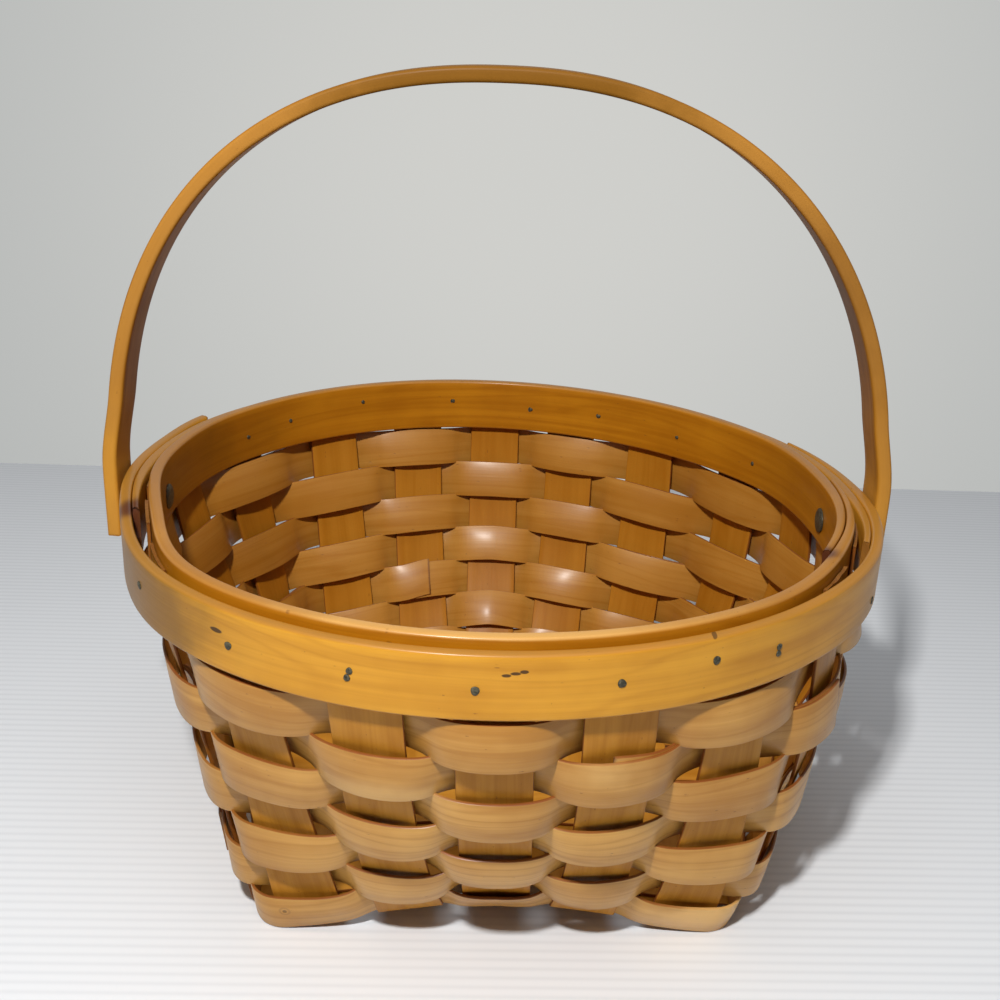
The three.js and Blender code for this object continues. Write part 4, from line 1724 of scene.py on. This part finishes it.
@dataclass
class Fixings(Piecework):
    """Nails through the rim and the two rivets that the bow swings on."""

    rim: Rim = Rim()
    bow: Bow = field(default_factory=Bow)
    nail_radius: float = 0.6 * MM
    nail_head: float = 1.45 * MM
    pair_head: float = 1.15 * MM
    nail_tip: float = 0.95 * MM
    nail_dome: float = 0.5 * MM
    nail_sides: int = 20
    nail_sunk: float = 0.02 * MM
    nail_wobble: float = 0.05
    rivet_radius: float = 2.4 * MM
    rivet_head: float = 5.2 * MM
    rivet_peen: float = 4.2 * MM
    rivet_dome: float = 1.3 * MM
    rivet_sides: int = 40
    rivet_slack: float = 0.1 * MM
    rivet_wobble: float = 0.015
    pivot: float = 139.6 * MM
    front: tuple = (
        ("nail_front_1", 217.0, 9.8),
        ("nail_front_2", 237.1, 12.3),
        ("nail_front_3_upper", 253.9, 9.8),
        ("nail_front_3_lower", 253.6, 12.3),
        ("nail_front_4", 268.6, 12.1),
        ("nail_front_5", 285.7, 11.0),
        ("nail_front_6", 298.1, 8.2),
        ("nail_front_7_upper", 308.2, 10.0),
        ("nail_front_7_lower", 308.2, 12.5),
        ("nail_front_8", 334.9, 17.6),
    )
    back: tuple = (
        ("nail_back_1", 29.5, 11.7),
        ("nail_back_2", 49.6, 11.9),
        ("nail_back_3", 68.3, 9.8),
        ("nail_back_4", 83.4, 10.9),
        ("nail_back_5", 100.0, 8.0),
        ("nail_back_6", 119.3, 5.9),
        ("nail_back_7", 136.0, 9.1),
        ("nail_back_8", 147.0, 11.1),
    )

    def _forge(
        self, name: str, shank: float, head: float, tip: float, dome: float, sides: int
    ) -> bpy.types.Object:
        """Makes a headed pin along +X with its shank from 0 to 1 and its two ends upset.

        Args:
            name: Name of the pattern piece.
            shank: Shank radius.
            head: Radius of the head at the far end.
            tip: Radius of the upset near end.
            dome: How far each end rises.
            sides: Sides round it.

        Returns:
            The pattern, to be copied.
        """
        deselect_all()
        bpy.ops.mesh.primitive_cylinder_add(
            vertices=sides, radius=shank, depth=1.0, end_fill_type="NGON", location=(0.0, 0.0, 0.5)
        )
        pin = bpy.context.object
        pin.name = name
        bpy.ops.object.transform_apply(location=True, rotation=True, scale=True)
        bpy.ops.object.mode_set(mode="EDIT")
        bpy.ops.mesh.select_mode(type="FACE")
        for end, radius in ((1.0, head), (0.0, tip)):
            up = 1.0 if end > 0.5 else -1.0
            bpy.ops.object.mode_set(mode="OBJECT")
            for face in pin.data.polygons:
                face.select = len(face.vertices) == sides and abs(face.center.z - end) < 1e-6
            bpy.ops.object.mode_set(mode="EDIT")
            self._upset(shank, radius, dome, up)
        bpy.ops.object.mode_set(mode="OBJECT")
        return pin

    def _upset(self, shank: float, radius: float, dome: float, up: float) -> None:
        """Spreads the selected end face into a head with a softened edge and a low crown.

        Args:
            shank: Radius of the shank.
            radius: Radius of the head.
            dome: How far the head rises.
            up: 1 for the far end of the pin, -1 for the near one.
        """
        steps = (
            (0.0, radius / shank),
            (dome * 0.45, 1.0),
            (dome * 0.35, 0.86),
            (dome * 0.15, 0.6),
            (dome * 0.05, 0.4),
        )
        for rise, spread in steps:
            bpy.ops.mesh.extrude_region_move(
                TRANSFORM_OT_translate={"value": (0.0, 0.0, rise * up)}
            )
            bpy.ops.transform.resize(value=(spread, spread, 1.0))

    def _drive(self, pattern: bpy.types.Object, seat: Seat, metal: Metal, wobble: float) -> None:
        """Copies the pattern and drives it through the rim between the seat's two radii.

        Args:
            pattern: The pin to copy.
            seat: Where it goes.
            metal: What it is made of.
            wobble: How far from round it is, as a share.
        """
        pin = pattern.copy()
        pin.data = pattern.data.copy()
        pin.name = "iron_" + seat.node
        bpy.context.scene.collection.objects.link(pin)
        co = corners(pin.data)
        rng = np.random.default_rng(int(abs(seat.angle) * 10 + seat.height / MM))
        along = np.where(co[:, 2] > 0.5, seat.outside + (co[:, 2] - 1.0), seat.inside + co[:, 2])
        ring = np.arctan2(co[:, 1], co[:, 0])
        uneven = 1.0 + wobble * np.sin(2 * ring + rng.uniform(0, 6))
        uneven = uneven + wobble * np.sin(3 * ring + rng.uniform(0, 6))
        side = co[:, 0] * uneven
        rise = co[:, 1] * uneven
        cos = math.cos(math.radians(seat.angle))
        sin = math.sin(math.radians(seat.angle))
        placed = (along * cos - side * sin, along * sin + side * cos, seat.height + rise)
        set_corners(pin, np.stack(placed, axis=-1), IRON_EDGE)
        self.finish(pin, metal.material, metal.slot, seat.node)

    def _nail(self, metal: Metal) -> None:
        """Drives every nail; the paired ones have smaller heads.

        Args:
            metal: Metal of the nails.
        """
        rim = self.rim
        heads = {"nail_pattern": self.nail_head, "pair_pattern": self.pair_head}
        single, paired = (
            self._forge(name, self.nail_radius, head, self.nail_tip, self.nail_dome, self.nail_sides)
            for name, head in heads.items()
        )
        for group, face in ((self.front, rim.front_outer), (self.back, rim.back_outer)):
            for node, angle, depth in group:
                seat = Seat(
                    node=node,
                    angle=angle,
                    height=rim.outer_top - depth * MM,
                    inside=rim.innermost(angle) + self.nail_sunk,
                    outside=float(face(np.array(angle))) - self.nail_sunk,
                )
                nail = paired if node.endswith(("upper", "lower")) else single
                self._drive(nail, seat, metal, self.nail_wobble)
        bpy.data.objects.remove(single)
        bpy.data.objects.remove(paired)

    def _rivet(self, metal: Metal) -> None:
        """Drives the two rivets through the legs of the bow and the rim.

        Args:
            metal: Metal of the rivets.
        """
        radius, peen, head = self.rivet_radius, self.rivet_peen, self.rivet_head
        rivet = self._forge("rivet_pattern", radius, peen, head, self.rivet_dome, self.rivet_sides)
        for node, angle in (("rivet_right", 0.0), ("rivet_left", 180.0)):
            seat = Seat(
                node=node,
                angle=angle,
                height=self.pivot,
                inside=self.rim.innermost(angle) - self.rivet_slack,
                outside=self.bow.inner_face + self.bow.thick + self.rivet_slack,
            )
            self._drive(rivet, seat, metal, self.rivet_wobble)
        bpy.data.objects.remove(rivet)

    def fix(self, nails: MetalFinish, rivets: MetalFinish) -> None:
        """Makes every nail and both rivets, each kind of its own metal."""
        self._nail(Metal(nails.make(), nails.slot))
        self._rivet(Metal(rivets.make(), rivets.slot))


@dataclass(frozen=True)
class Lamp:
    """A square lamp that faces the basket."""

    name: str
    place: tuple
    size: float
    power: float
    colour: tuple = (1.0, 1.0, 1.0)

    def hang(self, aim: tuple) -> None:
        """Hangs the lamp and turns it to what it lights.

        Args:
            aim: The place that it faces.
        """
        data = bpy.data.lights.new(self.name, "AREA")
        data.size = self.size
        data.energy = self.power
        data.color = self.colour
        lamp = bpy.data.objects.new(self.name, data)
        bpy.context.scene.collection.objects.link(lamp)
        lamp.location = self.place
        towards = Vector(aim) - Vector(self.place)
        lamp.rotation_euler = towards.to_track_quat("-Z", "Y").to_euler()


@dataclass
class Studio:
    """Floor, light and the camera at the photograph's place."""

    lens: float = 43.99
    camera_place: tuple = (1.69 * MM, -476.53 * MM, 326.87 * MM)
    target: tuple = (1.69 * MM, 0.0, 143.44 * MM)
    roll: float = 2.125
    floor_back: float = 0.4216
    floor_turn: float = 1.3
    floor_rough: float = 0.55
    rib_turn: float = 2.0
    rib_rate: float = 1309.0
    rib_least: float = 0.35
    rib_spread: float = 0.6
    rib_clouds: float = 9.0
    floor_reach: float = 3.0
    floor_sunk: float = 0.1 * MM
    floor_pale: tuple = (0.80, 0.825, 0.86)
    floor_dim: tuple = (0.70, 0.725, 0.76)
    # The backdrop is paler round one direction and dimmer away from it: a painted pool of light.
    wall_pale: tuple = (0.625, 0.625, 0.600)
    wall_dim: tuple = (0.450, 0.465, 0.460)
    wall_light_centre: tuple = (0.02, 0.995, -0.10)
    fade_start: float = 0.05
    fade_end: float = 0.62
    sky: float = 0.14
    sky_colour: tuple = (0.95, 0.97, 1.0)
    heart: tuple = (0.0, 0.0, 0.12)
    lamps: tuple = (
        Lamp("key", (-0.10, -0.51, 0.67), 0.045, 6.2, (1.0, 0.985, 0.96)),
        Lamp("overhead", (0.0, -0.05, 1.6), 1.4, 5.6),
    )

    def set_camera(self) -> None:
        """Stands the camera where the photograph was taken from."""
        data = bpy.data.cameras.new("camera")
        data.lens = self.lens
        data.sensor_width = 36.0
        data.clip_start = 0.01
        camera = bpy.data.objects.new("camera", data)
        bpy.context.scene.collection.objects.link(camera)
        back = (Vector(self.camera_place) - Vector(self.target)).normalized()
        level = Vector((1.0, 0.0, 0.0))
        up = back.cross(level)
        turn = math.radians(self.roll)
        right = level * math.cos(turn) + up * math.sin(turn)
        up = up * math.cos(turn) - level * math.sin(turn)
        matrix = Matrix((right, up, back)).transposed().to_4x4()
        matrix.translation = Vector(self.camera_place)
        camera.matrix_world = matrix
        bpy.context.scene.camera = camera

    def lay_floor(self) -> None:
        """Lays the pale floor that the basket stands on."""
        deselect_all()
        bpy.ops.mesh.primitive_plane_add(size=1.0, location=(0.0, 0.0, 0.0))
        floor = bpy.context.object
        floor.name = "floor"
        depth = self.floor_reach + self.floor_back
        floor.scale = (2.0 * self.floor_reach, depth, 1.0)
        floor.location = (0.0, (self.floor_back - self.floor_reach) / 2.0, -self.floor_sunk)
        bpy.ops.object.transform_apply(location=True, rotation=True, scale=True)
        floor.rotation_euler = (0.0, 0.0, math.radians(self.floor_turn))
        bpy.ops.object.transform_apply(location=True, rotation=True, scale=True)
        coat = Coat("pale_floor")
        coords = coat.add("ShaderNodeTexCoord", None, None, "Object")
        x, y, _ = coat.split(coords)
        ribs = ((y - x * math.tan(math.radians(self.rib_turn))) * self.rib_rate).sine()
        ribs = (ribs * 0.5 + 0.5) ** 2.0
        clouds = coat.noise(coat.scaled(coords, self.rib_clouds))
        share = ribs * (self.rib_least + clouds * self.rib_spread)
        pale = coat.blend(share, self.floor_pale, self.floor_dim)
        coat.set(Base_Color=pale, Roughness=self.floor_rough)
        floor.data.materials.append(coat.material)

    def light(self) -> None:
        """Hangs the lamps and sets the pale surroundings, which mirrors show too."""
        world = bpy.data.worlds.new("surroundings")
        bpy.context.scene.world = world
        bench = Bench(world)
        sight = bench.add("ShaderNodeTexCoord", None, None, "Generated")
        # Backdrop paler round one direction, dimmer away from it: painted pool of light.
        off = bench.vectors("DISTANCE", sight, self.wall_light_centre, output="Value")
        share = off.ramp(self.fade_start, self.fade_end)
        wall = bench.blend(share, self.wall_pale, self.wall_dim)
        seen = bench.add("ShaderNodeBackground", None, {"Color": wall})
        glow = {"Color": self.sky_colour, "Strength": self.sky}
        soft = bench.add("ShaderNodeBackground", None, glow)
        ray = bench.add("ShaderNodeLightPath", None, None, "Is Camera Ray")
        mirrored = ray.beside("Is Glossy Ray").or_higher(ray.beside("Is Transmission Ray"))
        inputs = {"Fac": ray.or_higher(mirrored), 1: soft, 2: seen}
        surface = bench.add("ShaderNodeMixShader", None, inputs)
        bench.add("ShaderNodeOutputWorld", None, {"Surface": surface})
        for lamp in self.lamps:
            lamp.hang(self.heart)

    def set_up(self) -> None:
        """Sets up everything round the basket."""
        bpy.context.scene.view_settings.view_transform = "Standard"
        self.set_camera()
        self.lay_floor()
        self.light()


WEAVER_WOOD = WoodFinish(
    name="weaver_veneer",
    slot="weaver_splint",
    pale=(0.610, 0.325, 0.075),
    deep=(0.400, 0.175, 0.026),
    # Dark red-brown edges: painted shade of the gaps between the rows.
    edge=(0.200, 0.055, 0.010),
    end=(0.130, 0.045, 0.012),
    streak_width=4.5 * MM,
    ring_share=0.22,
    fibre_share=0.30,
    check_depth=0.25,
    cloud_share=0.9,
    rough=0.42,
    coat=0.18,
    bump=0.16 * MM,
    # Painted shade for the faces that look into the basket.
    inside=(0.330, 0.120, 0.006),
    stains_and_shade=(
        # Darker patch low on the front-left corner of the weave.
        StainAndShade((-0.090, -0.095, 0.060), (0.050, 0.040, 0.060), (0.330, 0.140, 0.020), 0.45),
        # Dark patch on the left inner wall: painted shadow of the left rim.
        StainAndShade((-0.120, 0.030, 0.090), (0.060, 0.090, 0.060), (0.190, 0.060, 0.002), 0.6),
        # Paler patch on the lowest row's front-right corner: painted light.
        StainAndShade((0.085, -0.092, 0.012), (0.034, 0.030, 0.014), (0.760, 0.450, 0.150), 0.9),
        # Paler patches on the front of the second row, right and left of the middle.
        StainAndShade((0.045, -0.150, 0.105), (0.035, 0.020, 0.012), (0.680, 0.420, 0.150), 0.6),
        StainAndShade((-0.040, -0.140, 0.092), (0.035, 0.020, 0.010), (0.680, 0.410, 0.140), 0.6),
    ),
    marks=(
        Mark((-0.0745, -0.1010, 0.0105), (0.0012, 0.0030, 0.0012), 0.6, True),
        Mark((0.0070, -0.1250, 0.0760), (0.0030, 0.0040, 0.0006), 0.6),
    ),
    edge_reach=0.97,
)
STAKE_WOOD = WoodFinish(
    name="stake_veneer",
    slot="stake_splint",
    pale=(0.540, 0.245, 0.030),
    deep=(0.360, 0.135, 0.009),
    # Dark red-brown edges: painted shade where the stakes meet the rows.
    edge=(0.190, 0.055, 0.010),
    end=(0.120, 0.042, 0.011),
    streak_width=5.0 * MM,
    ring_share=0.12,
    fibre_share=0.22,
    check_depth=0.15,
    cloud_share=0.8,
    rough=0.42,
    coat=0.05,
    bump=0.16 * MM,
    # Painted shade for the faces that look into the basket.
    inside=(0.340, 0.115, 0.003),
    edge_reach=0.965,
    shine=0.15,
    stains_and_shade=(
        # Dark patch on the left inner wall: painted shadow of the left rim.
        StainAndShade((-0.120, 0.030, 0.090), (0.060, 0.090, 0.060), (0.190, 0.060, 0.002), 0.6),
    ),
)
OUTER_WOOD = WoodFinish(
    name="outer_hoop_wood",
    slot="outer_hoop",
    pale=(0.640, 0.305, 0.026),
    deep=(0.470, 0.198, 0.013),
    edge=(0.440, 0.180, 0.022),
    end=(0.150, 0.055, 0.012),
    streak_width=3.2 * MM,
    ring_share=0.20,
    fibre_share=0.30,
    check_depth=0.05,
    cloud_share=0.9,
    rough=0.40,
    coat=0.22,
    bump=0.08 * MM,
    stains_and_shade=(
        # Darker patch over the front left of the band.
        StainAndShade((-0.130, -0.085, 0.140), (0.080, 0.080, 0.032), (0.230, 0.105, 0.008), 0.9),
        # Darker patch low on the front right of the band.
        StainAndShade((0.140, -0.070, 0.131), (0.045, 0.050, 0.010), (0.330, 0.150, 0.016), 0.5),
        # Darker top edge all round.
        StainAndShade((0.000, 0.000, 0.1523), (0.400, 0.400, 0.0014), (0.330, 0.150, 0.022), 0.8),
        # Very dark spot where the back length ends under the front length: painted shade in the gap.
        StainAndShade((-0.139, -0.045, 0.145), (0.007, 0.016, 0.022), (0.090, 0.026, 0.010), 1.0),
    ),
    marks=(
        Mark((-0.0875, -0.1248, 0.1437), (0.0028, 0.0040, 0.0011), 0.9),
        Mark((0.0056, -0.1522, 0.1454), (0.0016, 0.0040, 0.0006), 0.9),
        Mark((0.0084, -0.1522, 0.1461), (0.0018, 0.0040, 0.0006), 0.9),
        Mark((0.0110, -0.1522, 0.1467), (0.0015, 0.0040, 0.0007), 0.9),
        Mark((0.0705, -0.1330, 0.1520), (0.0009, 0.0030, 0.0009), 0.7),
    ),
    shine=0.16,
)
# Same wood as the outer hoop, given a deeper, darker amber: painted shade of the basket's inside.
INNER_WOOD = WoodFinish(
    name="inner_hoop_wood",
    slot="inner_hoop",
    pale=(0.480, 0.185, 0.007),
    deep=(0.340, 0.115, 0.003),
    edge=(0.470, 0.210, 0.035),
    end=(0.120, 0.045, 0.010),
    streak_width=3.2 * MM,
    ring_share=0.20,
    fibre_share=0.25,
    check_depth=0.05,
    cloud_share=0.9,
    rough=0.40,
    coat=0.30,
    bump=0.12 * MM,
    stains_and_shade=(
        # Dark patches on the left and right of the inner hoop: painted shade of the basket's inside.
        StainAndShade((-0.120, 0.020, 0.142), (0.050, 0.110, 0.030), (0.170, 0.055, 0.002), 0.7),
        StainAndShade((0.125, 0.030, 0.142), (0.035, 0.090, 0.030), (0.260, 0.095, 0.003), 0.4),
        # Darker top edge all round.
        StainAndShade((0.000, 0.000, 0.1550), (0.400, 0.400, 0.0016), (0.330, 0.140, 0.022), 0.9),
        # Paler strip along the front of the top: painted highlight.
        StainAndShade((0.010, -0.150, 0.1550), (0.130, 0.060, 0.0016), (0.560, 0.300, 0.080), 0.9),
        # Very dark spot at the end of the lap: painted shade in the gap.
        StainAndShade((0.119, -0.069, 0.150), (0.009, 0.009, 0.022), (0.090, 0.026, 0.010), 1.0),
    ),
    shine=0.15,
)
BOW_WOOD = WoodFinish(
    name="bow_wood",
    slot="handle_bow",
    pale=(0.400, 0.165, 0.014),
    deep=(0.270, 0.095, 0.006),
    edge=(0.400, 0.180, 0.030),
    end=(0.130, 0.050, 0.012),
    streak_width=2.6 * MM,
    ring_share=0.35,
    fibre_share=0.75,
    check_depth=0.04,
    cloud_share=0.8,
    rough=0.50,
    coat=0.02,
    bump=0.04 * MM,
    shine=0.10,
    stains_and_shade=(
        # Darker top: painted shade.
        StainAndShade((0.000, 0.000, 0.318), (0.170, 0.040, 0.055), (0.180, 0.074, 0.006), 1.0),
        # Darker right shoulder: painted shade.
        StainAndShade((0.125, 0.000, 0.235), (0.050, 0.030, 0.080), (0.230, 0.098, 0.016), 0.7),
        # Paler legs near the rivets: painted light.
        StainAndShade((-0.150, 0.000, 0.150), (0.030, 0.030, 0.045), (0.560, 0.260, 0.030), 0.7),
        StainAndShade((0.150, 0.000, 0.150), (0.030, 0.030, 0.045), (0.560, 0.260, 0.030), 0.7),
    ),
)
NAIL_IRON = MetalFinish(
    name="nail_iron",
    slot="nail_metal",
    dark=(0.035, 0.032, 0.020),
    worn=(0.150, 0.135, 0.085),
    scale=900.0,
)
RIVET_IRON = MetalFinish(
    name="rivet_iron",
    slot="rivet_metal",
    dark=(0.035, 0.032, 0.022),
    worn=(0.130, 0.115, 0.075),
    scale=420.0,
)


def main() -> None:
    """Builds the basket's looks piece by piece and reports them."""
    logging.basicConfig(level=logging.INFO, format="%(name)s: %(message)s")
    Studio().set_up()
    stakes = Stakes()
    stakes.weave(STAKE_WOOD)
    weavers = Weavers()
    weavers.weave(WEAVER_WOOD)
    hoops = Hoops()
    hoops.bend_round(OUTER_WOOD, INNER_WOOD)
    bow = Bow()
    bow.bend_over(BOW_WOOD)
    fixings = Fixings()
    fixings.fix(NAIL_IRON, RIVET_IRON)
    for group in (stakes, weavers, hoops, bow, fixings):
        LOG.info("%s: %d pieces", type(group).__name__, len(group.made))


if __name__ == "__main__":
    main()
